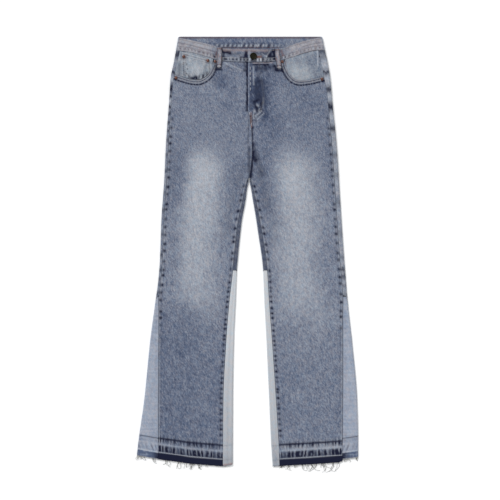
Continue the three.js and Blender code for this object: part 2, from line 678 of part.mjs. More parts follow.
// The waistband is one strip: front left from its free end, round the left side, along the back,
// round the right side and back to the centre front, where it passes under its own free end
function waistbandPoint(side, column, share) {
  const radius = (BAND_TOP - BACK_LIFT) / 2;
  const middle = BACK_LIFT + radius;
  const front = column.kind === 'front';
  const reach = BAND_ENDS[side];
  const backDown = mix(0, BACK_BAND, share);
  let down = backDown;
  let bend = edgeOf(side, 'outseam', down) - radius;
  let out = mix(reach, bend, column.part);
  for (let pass = 0; pass < PASSES && column.kind !== 'back'; pass += 1) {
    const at = front ? out : bend;
    const frontDown = mix(bandEdge(side, at, 'top'), bandEdge(side, at, 'bottom'), share);
    down = front ? frontDown : mix(frontDown, backDown, column.part);
    bend = edgeOf(side, 'outseam', down) - radius;
    out = mix(reach, bend, column.part);
  }
  let wide = 0;
  let high = 1;
  if (column.kind === 'fold') {
    out = bend;
    wide = Math.sin(Math.PI * column.part);
    high = Math.cos(Math.PI * column.part);
  }
  if (column.kind === 'back') {
    out = mix(0, bend, column.part);
    high = -1;
  }
  const lapped = side === 'left' && front ? 1 - ease(BAND_LAP.start, BAND_LAP.end, out) : 0;
  const lift = lapped * (BAND_WALL + SEAM_GAP);
  const at = (distance) => place(side, out + wide * distance, down, middle + high * distance + lift);
  return { outer: at(radius), inner: at(radius - BAND_WALL) };
}

function waistband() {
  const frontParts = [0, 0.14, 0.25, 0.33, 0.38, 0.42, 0.46, 0.5, 0.57, 0.67, 0.77, 0.88, 1];
  const foldParts = [0.25, 0.5, 0.75];
  const backParts = [1, 0.75, 0.5, 0.25];
  const columns = [];
  const add = (side, kind, parts) => {
    for (const part of parts) columns.push({ side, kind, part });
  };
  add('left', 'front', frontParts);
  add('left', 'fold', foldParts);
  add('left', 'back', backParts);
  add('left', 'back', [0]);
  add('right', 'back', [...backParts].reverse());
  add('right', 'fold', [...foldParts].reverse());
  add('right', 'front', [...frontParts].reverse());
  const shares = [0, 0.5, 1];
  return sheetBody(shares.map((share) => columns.map((column, at) => (
    { at, ...waistbandPoint(column.side, column, share) }
  ))));
}

// A front loop is sewn down at both ends and stands a little clear of the waistband between
function frontLoop({ side, out, down, toOut, toDown }) {
  return sheetBody(LOOP_PROFILE.map(({ share, under }) => [-0.5, 0, 0.5].map((across) => {
    const centre = mix(out, toOut, share) + across * LOOP.width;
    const length = mix(down, toDown, share);
    const crown = across === 0 ? LOOP.crown : 0;
    return {
      at: across,
      outer: place(side, centre, length, under + LOOP.wall + crown),
      inner: place(side, centre, length, under),
    };
  })));
}

function plate(outline, thickness) {
  const shape = new THREE.Shape(outline.map(([x, y]) => new THREE.Vector2(x, y)));
  return new THREE.ExtrudeGeometry(shape, { depth: thickness, bevelEnabled: false, steps: 1 });
}

function backLoop(x) {
  const half = LOOP.width / 2;
  const top = -LOOP.backTop;
  const foot = top - LOOP.backLength;
  const outline = [[x - half, top], [x - half, foot], [x + half, foot], [x + half, top]];
  return plate(outline, WALL);
}

function backPocket(side) {
  const { out, down, width, foot, side: length, point } = BACK_POCKET;
  const centre = SIDES[side].sign * out;
  return plate([
    [centre - width / 2, -down], [centre - foot / 2, -down - length], [centre, -down - point],
    [centre + foot / 2, -down - length], [centre + width / 2, -down],
  ], WALL);
}

function turned(profile, x, down, seat, segments) {
  const points = profile.map(([radius, height]) => new THREE.Vector2(radius, height));
  const geometry = new THREE.LatheGeometry(points, segments);
  geometry.rotateX(Math.PI / 2);
  geometry.translate(x, -down, seat);
  geometry.deleteAttribute('normal');
  geometry.deleteAttribute('uv');
  return mergeVertices(geometry);
}

function rivet({ side, out, down, seat }) {
  return turned(RIVET_PROFILE, SIDES[side].sign * out, down, seat + SEAM_GAP, 12);
}

function button() {
  const seat = BAND_TOP + BAND_WALL + 2 * SEAM_GAP;
  return turned(BUTTON_PROFILE, BUTTON.x, BUTTON.down, seat, 24);
}

// Frayed hem threads stand in a narrow strip of loose weave, parted from the cloth's raw edge
const wasm = await Module();
wasm.setup();

function toManifold(geometry) {
  const bare = geometry.clone();
  for (const name of Object.keys(bare.attributes)) {
    if (name !== 'position') bare.deleteAttribute(name);
  }
  const merged = mergeVertices(bare);
  return new wasm.Manifold(new wasm.Mesh({
    numProp: 3,
    vertProperties: new Float32Array(merged.attributes.position.array),
    triVerts: new Uint32Array(merged.index.array),
  }));
}

function fromManifold(solid) {
  const mesh = solid.getMesh();
  const geometry = new THREE.BufferGeometry();
  geometry.setAttribute('position', new THREE.Float32BufferAttribute(mesh.vertProperties, 3));
  geometry.setIndex(Array.from(mesh.triVerts));
  return geometry;
}

// A three-sided thread that thins towards its free end
function strand(points, radius) {
  const sides = 3;
  const positions = [];
  points.forEach(([x, y, z], index) => {
    const reach = radius * (1 - 0.35 * (index / (points.length - 1)));
    for (let corner = 0; corner < sides; corner += 1) {
      const angle = Math.PI / 2 + (2 * Math.PI * corner) / sides;
      positions.push(x + reach * Math.cos(angle), y, z + reach * Math.sin(angle));
    }
  });
  const faces = [0, 1, 2];
  for (let ring = 0; ring + 1 < points.length; ring += 1) {
    for (let corner = 0; corner < sides; corner += 1) {
      const a = ring * sides + corner;
      const b = ring * sides + ((corner + 1) % sides);
      faces.push(a, a + sides, b, b, a + sides, b + sides);
    }
  }
  const tip = (points.length - 1) * sides;
  faces.push(tip, tip + 2, tip + 1);
  return solidGeometry(positions, faces);
}

// Even but irregular numbers from 0 to 1
const scatter = (index, salt) => Math.abs(Math.sin(index * 12.9898 + salt * 78.233) * 43758.5453) % 1;

function fringe(side, layer) {
  const { strands, low, high, length, more, tip } = FRINGE[layer];
  const inner = edgeOf(side, 'inseam', HEM_LEVEL) + FRINGE.inset;
  const outer = edgeOf(side, 'outseam', HEM_LEVEL) - FRINGE.inset;
  const bends = SIDES[side].hem.map((row) => row.out).filter((out) => out > inner && out < outer);
  const knots = [inner, ...bends, outer];
  const rows = [SEAM_GAP, SEAM_GAP + FRINGE.strip].map((below) => knots.map((out, at) => {
    const down = hemAt(side, out) + below;
    return { at, outer: place(side, out, down, high), inner: place(side, out, down, low) };
  }));
  let solid = toManifold(sheetBody(rows));
  const salt = (side === 'left' ? 1 : 3) + (layer === 'front' ? 0 : 1);
  const rootHeight = (high + low) / 2;
  for (let index = 0; index < strands; index += 1) {
    const along = (index + 0.2 + 0.6 * scatter(index, salt)) / strands;
    const out = mix(inner + 2, outer - 2, along);
    const root = hemAt(side, out) + SEAM_GAP + FRINGE.strip / 2;
    const reach = length + more * scatter(index, salt + 7) ** 2;
    const lean = (scatter(index, salt + 11) - 0.5) * reach * FRINGE.lean;
    const points = [
      place(side, out, root, rootHeight),
      place(side, out + lean * 0.3, root + reach * 0.6, (rootHeight + tip) / 2),
      place(side, out + lean, root + reach, tip),
    ];
    solid = solid.add(toManifold(strand(points, FRINGE.radius)));
  }
  return fromManifold(solid);
}

// Assembly
const group = new THREE.Group();

function addPiece(name, geometry, finish) {
  const mesh = new THREE.Mesh(geometry, new THREE.MeshStandardMaterial(finish));
  mesh.name = name;
  group.add(mesh);
}

for (const side of ['left', 'right']) {
  addPiece(`front_panel_${side}`, frontPanel(side), FINISH.denim);
  addPiece(`back_panel_${side}`, backPanel(side), FINISH.denim);
  addPiece(`back_yoke_${side}`, backYoke(side), FINISH.denim);
  addPiece(`back_pocket_${side}`, backPocket(side), FINISH.denim);
  addPiece(`pocket_facing_${side}`, pocketFacing(side), FINISH.facing);
  addPiece(`outer_gusset_${side}`, outerGusset(side), FINISH.lightDenim);
  addPiece(`inner_gusset_${side}`, innerGusset(side), FINISH.canvas);
  for (const layer of ['front', 'back']) {
    addPiece(`fringe_${layer}_${side}`, fringe(side, layer), FINISH.thread);
  }
}
addPiece('coin_pocket_right', coinPocket(), FINISH.facing);
addPiece('waistband', waistband(), FINISH.denim);
for (const loop of FRONT_LOOPS) addPiece(`belt_loop_front_${loop.side}`, frontLoop(loop), FINISH.denim);
for (const { name, x } of BACK_LOOPS) addPiece(name, backLoop(x), FINISH.denim);
for (const fastener of RIVETS) addPiece(fastener.name, rivet(fastener), FINISH.copper);
addPiece('button', button(), FINISH.darkMetal);

// The origin is the middle of the footprint, on the surface the garment lies on
const bounds = new THREE.Box3().setFromObject(group);
const middle = bounds.getCenter(new THREE.Vector3());
group.position.set(-middle.x, -middle.y, -bounds.min.z);
group.updateMatrixWorld(true);

export default group;
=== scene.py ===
import math

import bpy
import numpy as np
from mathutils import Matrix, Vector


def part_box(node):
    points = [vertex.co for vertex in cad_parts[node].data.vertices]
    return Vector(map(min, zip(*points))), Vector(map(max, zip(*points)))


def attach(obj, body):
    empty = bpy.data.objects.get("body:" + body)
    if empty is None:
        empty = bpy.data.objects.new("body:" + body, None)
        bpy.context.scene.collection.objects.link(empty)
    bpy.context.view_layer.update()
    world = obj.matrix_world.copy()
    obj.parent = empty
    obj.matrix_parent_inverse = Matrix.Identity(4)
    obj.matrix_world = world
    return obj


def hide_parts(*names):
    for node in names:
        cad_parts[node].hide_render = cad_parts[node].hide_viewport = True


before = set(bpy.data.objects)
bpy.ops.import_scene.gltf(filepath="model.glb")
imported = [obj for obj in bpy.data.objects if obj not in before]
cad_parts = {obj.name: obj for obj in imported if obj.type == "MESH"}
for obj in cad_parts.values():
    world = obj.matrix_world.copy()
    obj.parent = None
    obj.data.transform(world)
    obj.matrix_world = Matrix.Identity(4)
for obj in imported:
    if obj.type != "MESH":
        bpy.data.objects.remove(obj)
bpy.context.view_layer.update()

# Flared jeans lying flat on their back, front up. Sizes are in millimetres and turned into metres
# where a mesh is made. "out" runs sideways from the centre line towards the wearer's left or
# right, "down" runs from the top edge of the back waistband towards the feet.
MM = 0.001


def table(names, *rows):
    """Columns by name, from rows of numbers."""
    return dict(zip(names.split(), np.array(rows, float).T))


# Driving dimensions, the same as in the solids
WALL = 1.3  # one layer of cloth
BAND_WALL = 2.6  # the folded waistband
FLOOR_CLEAR = 0.1
SEAM_GAP = 0.3  # between pieces that are sewn together
BAND_GAP = 0.7  # below the waistband
BACK_LIFT = 1.6  # the seat, above its pockets and loops
BACK_BAND = 33
BAND_TOP = 7.8
CROTCH = 361
OUTER_APEX = 655  # where the outer gussets begin
INNER_TOP = 591  # where the inner gussets begin
TOP_ZONE = 150  # above it rows of points follow the top edge
HEM_ZONE = 985  # below it they follow the hem
LAP = 38
BAND_START = {"left": -5, "right": 8 - LAP}
FLY_END = 190
YOKE_SIDE = 80
YOKE_CENTRE = 112
FRONT_UNIT = 100  # millimetres of the front in one unit of turn
PATCH_TOP = 1.25  # upper face of the pockets and loops under the seat
EDGE_ROUND = 0.8  # how far a cut edge is worn round
SEAM_TOP, SEAM_FOOT = (175, 230), (1010, 1040)  # where the puckers of the leg seams begin and end

SIDES = {
    "right": {
        "sign": -1,
        "outseam": table(
            "down edge strip",
            (0, 181.6, 10), (33, 187.5, 10.5), (58, 192, 9.5), (109, 201.9, 7.5), (160, 205, 6),
            (262, 212.6, 6), (363, 217.7, 6), (465, 225, 6), (566, 228.6, 6), (617, 232.7, 6.2),
            (655, 237.7, 6.8), (700, 244, 12.7), (770, 253.2, 21.6), (922, 268.7, 36.3),
            (1024, 283.2, 50.8), (1090, 290.5, 58.5)),
        "inseam": table(
            "down edge strip",
            (361, 2.3, 3.4), (389, 8.1, 4.8), (414, 11.2, 6.6), (465, 20.6, 8.5), (516, 26.4, 9.4),
            (566, 31.2, 9.6), (592, 33.5, 9.8), (668, 36.6, 15.2), (770, 41.1, 19),
            (922, 43.7, 23.9), (1090, 44.2, 24.6)),
        "band": table(
            "out top bottom",
            (-LAP, 32, 65), (0, 31.2, 64.8), (67, 30.2, 62), (79, 27.5, 59.5), (90, 23.2, 56.8),
            (122, 15.5, 46.8), (156, 8, 38.8), (182, 2.4, 35.6)),
        "mouth": table(
            "out down",
            (91.6, 56), (92.8, 64), (95.4, 78), (101.4, 91), (109.2, 100.3), (119.4, 107.2),
            (132, 111.3), (147.3, 110.2), (162.6, 106.2), (195, 95.4)),
        "hem": table("out down", (44, 1084.6), (69, 1088), (150, 1081.5), (232, 1070), (289, 1060)),
    },
    "left": {
        "sign": 1,
        "outseam": table(
            "down edge strip",
            (0, 182.6, 14), (33, 189.7, 16), (58, 195.3, 16.5), (109, 204, 14.5), (160, 208.3, 11),
            (262, 218.4, 11), (363, 225.6, 11), (465, 232.2, 11), (566, 239.3, 10.5),
            (617, 243.3, 10), (655, 246.2, 10.4), (700, 250.6, 15), (770, 258.6, 22.9),
            (922, 271.8, 36.3), (1024, 274.3, 39.6), (1090, 274.4, 40.6)),
        "inseam": table(
            "down edge strip",
            (361, -2.3, 3.4), (389, 3, 5), (414, 7.1, 7), (465, 15.7, 8.5), (516, 23.4, 9.8),
            (566, 30.5, 10.4), (592, 33, 10.7), (668, 36.3, 11.9), (770, 41.7, 14.2),
            (922, 48.8, 17.3), (1024, 53.3, 19), (1090, 57.6, 17.4)),
        "band": table(
            "out top bottom",
            (-5, 31.2, 64.8), (40, 32, 64.2), (60, 31.6, 62.6), (80, 29, 59.8), (110, 19.5, 50.8),
            (142, 10.2, 40.8), (166, 4.5, 35.2), (183, 1.4, 33.4)),
        "mouth": table(
            "out down",
            (86.4, 57), (87.8, 65), (91, 78.5), (97, 91.2), (104.4, 101.6), (114.3, 109.6),
            (127, 112.6), (147.3, 110.6), (167.6, 106.2), (192, 99.8)),
        "hem": table(
            "out down",
            (57, 1088), (76, 1087), (150, 1083), (226.5, 1078), (234, 1070.4), (275, 1064.8)),
    },
}
CENTRE_SEAM = table(
    "down x", (60, -5), (187, -5), (205, -1), (262, 4.8), (292, 4.8), (335, 1.8), (CROTCH, -2.3))
LAYERS = table(
    "down under over", (0, BACK_LIFT, 7.2), (320, BACK_LIFT, 7), (385, 0, 5.6), (600, 0, 5),
    (1100, 0, 5))

# Soft folds of the fronts: from one end to the other, half width, height. The first ones are
# the solids' own, the later ones are finer.
FOLDS = {
    "right": table(
        "out down to_out to_down width height",
        (72, 92, 24, 71, 7, 0.9), (60, 150, 14, 215, 9, 0.6), (24, 310, 92, 372, 11, 0.8),
        (205, 652, 150, 700, 12, 0.8), (66, 640, 130, 668, 11, 0.6),
        (70, 66, 30, 88, 3, 0.5), (58, 74, 26, 104, 3.5, -0.4), (150, 128, 96, 150, 8, 0.5),
        (190, 200, 140, 232, 10, -0.5), (28, 268, 70, 300, 6, -0.5), (20, 346, 60, 372, 6, 0.5),
        (214, 420, 150, 448, 12, 0.5), (60, 470, 118, 492, 9, -0.5), (210, 560, 160, 582, 9, 0.5),
        (60, 706, 110, 722, 10, -0.5), (214, 760, 150, 800, 12, -0.4), (90, 860, 190, 900, 14, 0.5),
        (80, 980, 170, 1010, 12, 0.4)),
    "left": table(
        "out down to_out to_down width height",
        (22, 250, 66, 312, 9, 0.9), (26, 318, 40, 430, 9, 0.7), (90, 132, 62, 205, 9, 0.6),
        (214, 648, 165, 690, 12, 0.8), (76, 560, 140, 596, 11, 0.6),
        (14, 268, 44, 330, 4.5, -0.6), (34, 250, 82, 286, 5, -0.5), (40, 110, 78, 128, 5, 0.5),
        (150, 134, 110, 168, 8, 0.5), (206, 190, 152, 220, 9, -0.5), (60, 420, 110, 448, 9, 0.5),
        (226, 430, 170, 462, 10, -0.5), (80, 500, 128, 522, 8, -0.4), (230, 590, 180, 612, 9, 0.5),
        (76, 760, 140, 790, 12, -0.5), (224, 830, 150, 866, 13, 0.5), (90, 930, 180, 966, 13, -0.4)),
}

# Where the wash has faded each thigh: centre, half widths towards the inseam and the outseam,
# strength there and all round
FADES = {
    "right": table(
        "down centre inner outer core rest",
        (60, 112, 44, 44, 0.3, 0.26), (249, 116, 44, 40, 0.22, 0.2), (275, 121, 43, 36, 0.34, 0.18),
        (300, 122, 42, 34, 0.68, 0.16), (317, 121, 42, 34, 0.95, 0.15), (350, 119, 42, 36, 1.02, 0.15),
        (401, 130, 50, 38, 0.95, 0.14), (452, 130, 47, 46, 0.91, 0.14), (503, 137, 48, 46, 0.85, 0.17),
        (554, 140, 50, 46, 0.77, 0.16), (605, 142, 55, 46, 0.75, 0.19), (655, 135, 52, 48, 0.64, 0.2),
        (706, 104, 28, 34, 0.36, 0.13), (757, 90, 26, 30, 0.14, 0.04), (850, 90, 30, 40, 0.07, 0.02),
        (1100, 90, 40, 40, 0.06, 0.02)),
    "left": table(
        "down centre inner outer core rest",
        (60, 110, 44, 50, 0.24, 0.17), (249, 104, 44, 50, 0.18, 0.14), (275, 98, 36, 52, 0.32, 0.13),
        (300, 94, 34, 54, 0.6, 0.13), (350, 107, 40, 50, 0.97, 0.14), (401, 112, 46, 58, 0.88, 0.14),
        (452, 118, 47, 58, 0.82, 0.17), (503, 118, 49, 58, 0.81, 0.18), (554, 110, 42, 48, 0.79, 0.22),
        (605, 117, 39, 50, 0.74, 0.22), (655, 122, 43, 54, 0.74, 0.22), (706, 142, 60, 56, 0.5, 0.28),
        (757, 168, 50, 40, 0.3, 0.22), (850, 150, 50, 50, 0.2, 0.17), (1100, 150, 50, 50, 0.15, 0.12)),
}

# A front hem seen from its raw edge up: distance above the edge, how far the line stands proud,
# the height of the gathers that run over it, the ink all along it and in its troughs, and chalk
# all along it and on its crests
HEM_LINES = table(
    "above proud pucker ink trough chalk crest",
    (-2, -0.1, 0, 1.4, 0, 0, 0), (8, 0, 0.05, 1.4, 0, 0, 0), (14.2, -0.2, 0.1, 1.3, 0, 0, 0),
    (15.4, 0.2, 0.1, 0.6, 0, 0.25, 0), (16.8, 0.3, 0.15, 0.3, 0.3, 0.3, 0.1),
    (18.5, 0, 0.4, 0.6, 0.6, 0, 0.1), (22, 0, 0.75, 0.52, 0.9, 0, 0.16),
    (28, 0.1, 0.9, 0.44, 0.9, 0, 0.22), (33, 0.2, 0.6, 0.1, 0.7, 0.02, 0.22),
    (36.4, 0.4, 0.2, 0, 0.12, 0.34, 0.1), (38.6, 0.35, 0.15, 0, 0.1, 0.2, 0.1),
    (41.5, 0.1, 0.5, 0.05, 0.45, 0.06, 0.2), (47, 0, 0.65, 0.16, 0.8, 0, 0.15),
    (49.6, -0.3, 0.2, 0.5, 0.5, 0, 0), (51.5, -0.4, 0.15, 0.95, 0.3, 0, 0),
    (53.4, -0.3, 0.15, 0.7, 0.3, 0, 0), (55.4, 0.15, 0.35, 0.06, 0.45, 0.02, 0.12),
    (60, 0.15, 0.3, 0, 0.22, 0.02, 0.1), (67, 0, 0.1, 0, 0, 0, 0), (90, 0, 0, 0, 0, 0, 0))
HEM_PITCH = 9.3


def mix(start, end, part):
    return start + (end - start) * part


def ease(start, end, place):
    """0 before start, 1 after end, smooth between."""
    part = np.clip((place - start) / (end - start), 0, 1)
    return part * part * (3 - 2 * part)


def bump(centre, half, place):
    """1 at the centre, falling off to nothing about two half widths away."""
    return np.exp(-((place - centre) / half) ** 2)


def read(rows, along, column, place):
    """Smooth value of one column of a table, without overshoot between its rows."""
    known, value = rows[along], rows[column]
    slope = np.diff(value) / np.diff(known)
    product = slope[:-1] * slope[1:]
    agree = product > 0
    inner = np.where(agree, 2 * product / np.where(agree, slope[:-1] + slope[1:], 1), 0)
    tangent = np.concatenate([slope[:1], inner, slope[-1:]])
    place = np.clip(place, known[0], known[-1])
    row = np.clip(np.searchsorted(known, place, side="right") - 1, 0, len(known) - 2)
    span = known[row + 1] - known[row]
    part = (place - known[row]) / span
    rest = 1 - part
    return (value[row] * rest * rest * (1 + 2 * part)
            + value[row + 1] * part * part * (1 + 2 * rest)
            + span * part * rest * (tangent[row] * rest - tangent[row + 1] * part))


def ripple(x, y, size, seed, waves=8):
    """Soft unevenness around zero, whose swells are about size millimetres across."""
    random = np.random.default_rng(seed)
    total = 0.0
    for _ in range(waves):
        angle = random.uniform(0, 2 * np.pi)
        pitch = size * random.uniform(0.7, 1.6)
        start = random.uniform(0, 2 * np.pi)
        total = total + np.sin(2 * np.pi * (x * np.cos(angle) + y * np.sin(angle)) / pitch + start)
    return total / math.sqrt(waves)


def beads(along, pitch, seed):
    """Uneven waves along a seam, between -1 and 1."""
    first, second, third = np.random.default_rng(seed).uniform(0, 2 * np.pi, 3)
    turn = 2 * np.pi * along / pitch
    phase = turn + 0.9 * np.sin(0.37 * turn + first) + 0.5 * np.sin(0.83 * turn + second)
    return np.sin(phase) * (0.66 + 0.34 * np.sin(0.29 * turn + third))


def dots(along, pitch, half, seed):
    """Spots of uneven strength, about a pitch apart and a half width to each side."""
    random = np.random.default_rng(seed)
    places = pitch * (np.arange(200) + random.uniform(-0.24, 0.24, 200))
    strength = random.uniform(0.6, 1, 200)
    nearest = np.round(along / pitch).astype(int)
    total = 0.0
    for step in (-1, 0, 1):
        spot = np.clip(nearest + step, 0, 199)
        total = np.maximum(total, strength[spot] * bump(places[spot], half, along))
    return total


def distance_to(line, out, down, reach=30.0):
    """Distance from each point to a line of (out, down) points, and how far along it that is."""
    line = np.array(line, float)
    start, step = line[:-1], np.diff(line, axis=0)
    length = np.hypot(step[:, 0], step[:, 1])
    before = np.concatenate([[0], np.cumsum(length)[:-1]])
    out, down = np.broadcast_arrays(out, down)
    distance = np.full(out.shape, 1e3)
    along = np.zeros(out.shape)
    low, high = line.min(0) - reach, line.max(0) + reach
    near = (out > low[0]) & (out < high[0]) & (down > low[1]) & (down < high[1])
    points = np.stack([out[near], down[near]], -1)[:, None]
    part = np.clip(((points - start) * step).sum(-1) / length ** 2, 0, 1)
    gap = points - start - part[..., None] * step
    each = np.hypot(gap[..., 0], gap[..., 1])
    best = each.argmin(-1)
    pick = (np.arange(len(best)), best)
    distance[near] = each[pick]
    along[near] = before[best] + part[pick] * length[best]
    return distance, along


def edge_of(side, seam, down):
    return read(SIDES[side][seam], "down", "edge", down)


def strip_of(side, seam, down):
    return read(SIDES[side][seam], "down", "strip", down)


def hem_at(side, out):
    """The raw hem runs straight from one row of its table to the next, and on past its ends."""
    hem = SIDES[side]["hem"]
    known, value = hem["out"], hem["down"]
    first = (value[1] - value[0]) / (known[1] - known[0])
    last = (value[-1] - value[-2]) / (known[-1] - known[-2])
    beyond = np.minimum(out - known[0], 0) * first + np.maximum(out - known[-1], 0) * last
    return np.interp(out, known, value) + beyond


def under_at(down):
    return read(LAYERS, "down", "under", down)


def over_at(down):
    return read(LAYERS, "down", "over", down)


def band_edge(side, out, which):
    return read(SIDES[side]["band"], "out", which, out)


def mouth_at(side, out):
    return read(SIDES[side]["mouth"], "out", "down", out)


def centre_out(side, down):
    return SIDES[side]["sign"] * read(CENTRE_SEAM, "down", "x", down)


# The solids' own origin, found again from the button
BUTTON = {"radius": 8.9, "height": 4.2, "x": 8.6, "down": 50.5}
button_low, button_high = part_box("button")
ORIGIN_X = (button_low[0] + button_high[0]) / 2 / MM - BUTTON["x"]
ORIGIN_Y = (button_low[1] + button_high[1]) / 2 / MM + BUTTON["down"]


def place(side, out, down, height):
    """Points of the garment in the frame's axes, in millimetres."""
    sign = SIDES[side]["sign"]
    high = np.maximum(height, FLOOR_CLEAR)
    x, y, z = np.broadcast_arrays(sign * out + ORIGIN_X, ORIGIN_Y - down, high)
    return np.stack([x, y, z], -1)


# The legs as flattened rings. A point's "turn" is up to 0 on the front at the outseam, 0 to 1 round
# the outer edge, 1 to 2 along the underside, 2 to 3 round the inner edge, past 3 on the front.
def section(side, down):
    low = under_at(down)
    radius = (over_at(down) - low) / 2
    outer_bend = edge_of(side, "outseam", down) - radius
    joined = centre_out(side, down) + SEAM_GAP / 2
    parted = edge_of(side, "inseam", down) + radius
    inner_bend = mix(joined, parted, np.clip((down - CROTCH + 3) / 3, 0, 1))
    return low, radius, outer_bend, inner_bend


def arc_of(side, down, turn):
    """Millimetres round the ring for a turn."""
    _, radius, outer_bend, inner_bend = section(side, down)
    bend = np.pi * radius
    return (np.minimum(turn, 0) * FRONT_UNIT + bend * np.clip(turn, 0, 1)
            + (outer_bend - inner_bend) * np.clip(turn - 1, 0, 1)
            + bend * np.clip(turn - 2, 0, 1) + np.maximum(turn - 3, 0) * FRONT_UNIT)


def turn_of(side, down, arc):
    _, radius, outer_bend, inner_bend = section(side, down)
    bend = np.pi * radius
    width = outer_bend - inner_bend
    return (np.minimum(arc, 0) / FRONT_UNIT + np.clip(arc / bend, 0, 1)
            + np.clip((arc - bend) / width, 0, 1) + np.clip((arc - bend - width) / bend, 0, 1)
            + np.maximum(arc - 2 * bend - width, 0) / FRONT_UNIT)


def ring_point(side, down, turn, depth=0.0):
    """Out and height of points of the ring, depth millimetres inside its outer face."""
    low, radius, outer_bend, inner_bend = section(side, down)
    angle = np.pi * (0.5 - np.clip(turn, 0, 1) - np.clip(turn - 2, 0, 1))
    centre = (outer_bend + np.minimum(turn, 0) * FRONT_UNIT
              + (inner_bend - outer_bend) * np.clip(turn - 1, 0, 1)
              + np.maximum(turn - 3, 0) * FRONT_UNIT)
    reach = radius - depth
    return centre + np.cos(angle) * reach, low + radius + np.sin(angle) * reach


def shift_turn(side, down, turn, distance):
    return turn_of(side, down, arc_of(side, down, turn) + distance)


def step_turn(after, length, start, steps, end):
    """A seam that goes round the ring's edge in steps, from one turn to another."""
    after_known, turn_known = np.array(steps).T
    into = mix(start, turn_known[0], np.clip(after / max(after_known[0], 1e-6), 0, 1))
    beyond = np.clip((after - after_known[-1]) / (length - after_known[-1]), 0, 1)
    middle = np.interp(after, after_known, turn_known)
    inside = np.where(after < after_known[0], into, middle)
    return np.where(after > after_known[-1], mix(turn_known[-1], end, beyond), inside)


def back_outer_turn(side, down):
    _, radius, outer_bend, inner_bend = section(side, down)
    reach = strip_of(side, "outseam", down) - radius
    steps = [(4, 0), (11, 0.25), (18, 0.5), (25, 0.75), (32, 1)]
    below = 1 + reach / (outer_bend - inner_bend)
    return step_turn(down - OUTER_APEX, 38, -reach / FRONT_UNIT, steps, below)


def back_inner_turn(side, down):
    _, radius, outer_bend, inner_bend = section(side, down)
    reach = strip_of(side, "inseam", down) - radius
    on_front = 3 + reach / FRONT_UNIT
    below = 2 - reach / (outer_bend - inner_bend)
    crotch = step_turn(down - CROTCH, 12, 2, [(0, 2), (3, 2.33), (6, 2.67), (9, 3)], on_front)
    steps = [(1.2, 3), (3, 2.67), (4.8, 2.33), (6.6, 2)]
    leg = step_turn(down - INNER_TOP, 8, on_front, steps, below)
    return np.where(down < CROTCH, 2, np.where(down < INNER_TOP, crotch, leg))


# Rows of points down a leg: a level, and how much of it follows the top edge or the raw hem
def leg_rows(start, step, fine=()):
    level = np.arange(max(start, TOP_ZONE), HEM_ZONE, step)
    for low, high, closer in fine:
        level = np.union1d(level, np.arange(low, high, closer))
    level = level[level >= start]
    hem = np.linspace(0, 1, 46)
    top = np.linspace(1, 0, 42, endpoint=False) if start < TOP_ZONE else np.zeros(0)
    rows = [(TOP_ZONE, share, 0) for share in top]
    rows += [(value, 0, 0) for value in level]
    rows += [(HEM_ZONE, 0, share) for share in hem]
    return [column[:, None] for column in np.array(rows, float).T]


def across(count, closer=0.5):
    """Parts of a width, closer together at both ends."""
    part = np.linspace(0, 1, count)
    return mix(part, 0.5 - 0.5 * np.cos(np.pi * part), closer)[None, :]


def ring_grid(side, rows, parts, start_of, end_of, top_of=None):
    """Turn, out and down of a grid of points on a piece that runs round the ring."""
    level, to_top, to_hem = rows
    down = level + 0 * parts
    for _ in range(8):
        first = arc_of(side, down, start_of(side, down))
        last = arc_of(side, down, end_of(side, down))
        turn = turn_of(side, down, mix(first, last, parts))
        out, _ = ring_point(side, down, turn)
        down = level + to_hem * (hem_at(side, out) - HEM_ZONE)
        if top_of:
            down = down + to_top * (top_of(side, turn) - TOP_ZONE)
    return turn, out, down


# Meshes
MARKS = ("fade", "ink", "chalk", "rust")


def link(obj, replaced, material):
    bpy.context.scene.collection.objects.link(obj)
    obj.data.materials.append(material)
    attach(obj, "root")
    if replaced:
        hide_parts(*replaced)
    return obj


def mesh_object(name, points, faces, sharp=None):
    mesh = bpy.data.meshes.new(name)
    mesh.from_pydata((points * MM).tolist(), [], faces)
    mesh.update()
    mesh.shade_smooth()
    if sharp:
        mesh.set_sharp_from_angle(angle=math.radians(sharp))
    return bpy.data.objects.new(name, mesh)


def shell(name, outer, inner, marks, inner_marks=None, sharp=55):
    """A closed body of cloth from two grids of points. Marks are named values, one for each point."""
    rows, columns = outer.shape[:2]
    count = rows * columns
    number = np.arange(count).reshape(rows, columns)
    face = np.stack([number[:-1, :-1], number[1:, :-1], number[1:, 1:], number[:-1, 1:]], -1)
    face = face.reshape(-1, 4)
    rim = np.concatenate([number[0, :-1], number[:-1, -1], number[-1, :0:-1], number[:0:-1, 0]])
    after = np.roll(rim, -1)
    wall = np.stack([rim, after, after + count, rim + count], -1)
    faces = np.concatenate([face, face[:, ::-1] + count, wall])
    points = np.concatenate([outer.reshape(-1, 3), inner.reshape(-1, 3)])
    a, b, c, d = (points[faces[:, corner]] for corner in range(4))
    volume = (np.cross(b - a, c - a) * a).sum() + (np.cross(c - a, d - a) * a).sum()
    if volume < 0:
        faces = faces[:, ::-1]
    obj = mesh_object(name, points, faces.tolist(), sharp)
    for key in MARKS:
        faces_of = [np.broadcast_to(face_marks.get(key, 0.0), (rows, columns)).ravel()
                    for face_marks in (marks, inner_marks or marks)]
        layer = obj.data.attributes.new(key, "FLOAT", "POINT")
        layer.data.foreach_set("value", np.concatenate(faces_of).astype(np.float32))
    return obj


def cloth(name, replaced, material, outer, inner, marks, inner_marks=None):
    obj = link(shell(name, outer, inner, marks, inner_marks), replaced, material)
    return obj


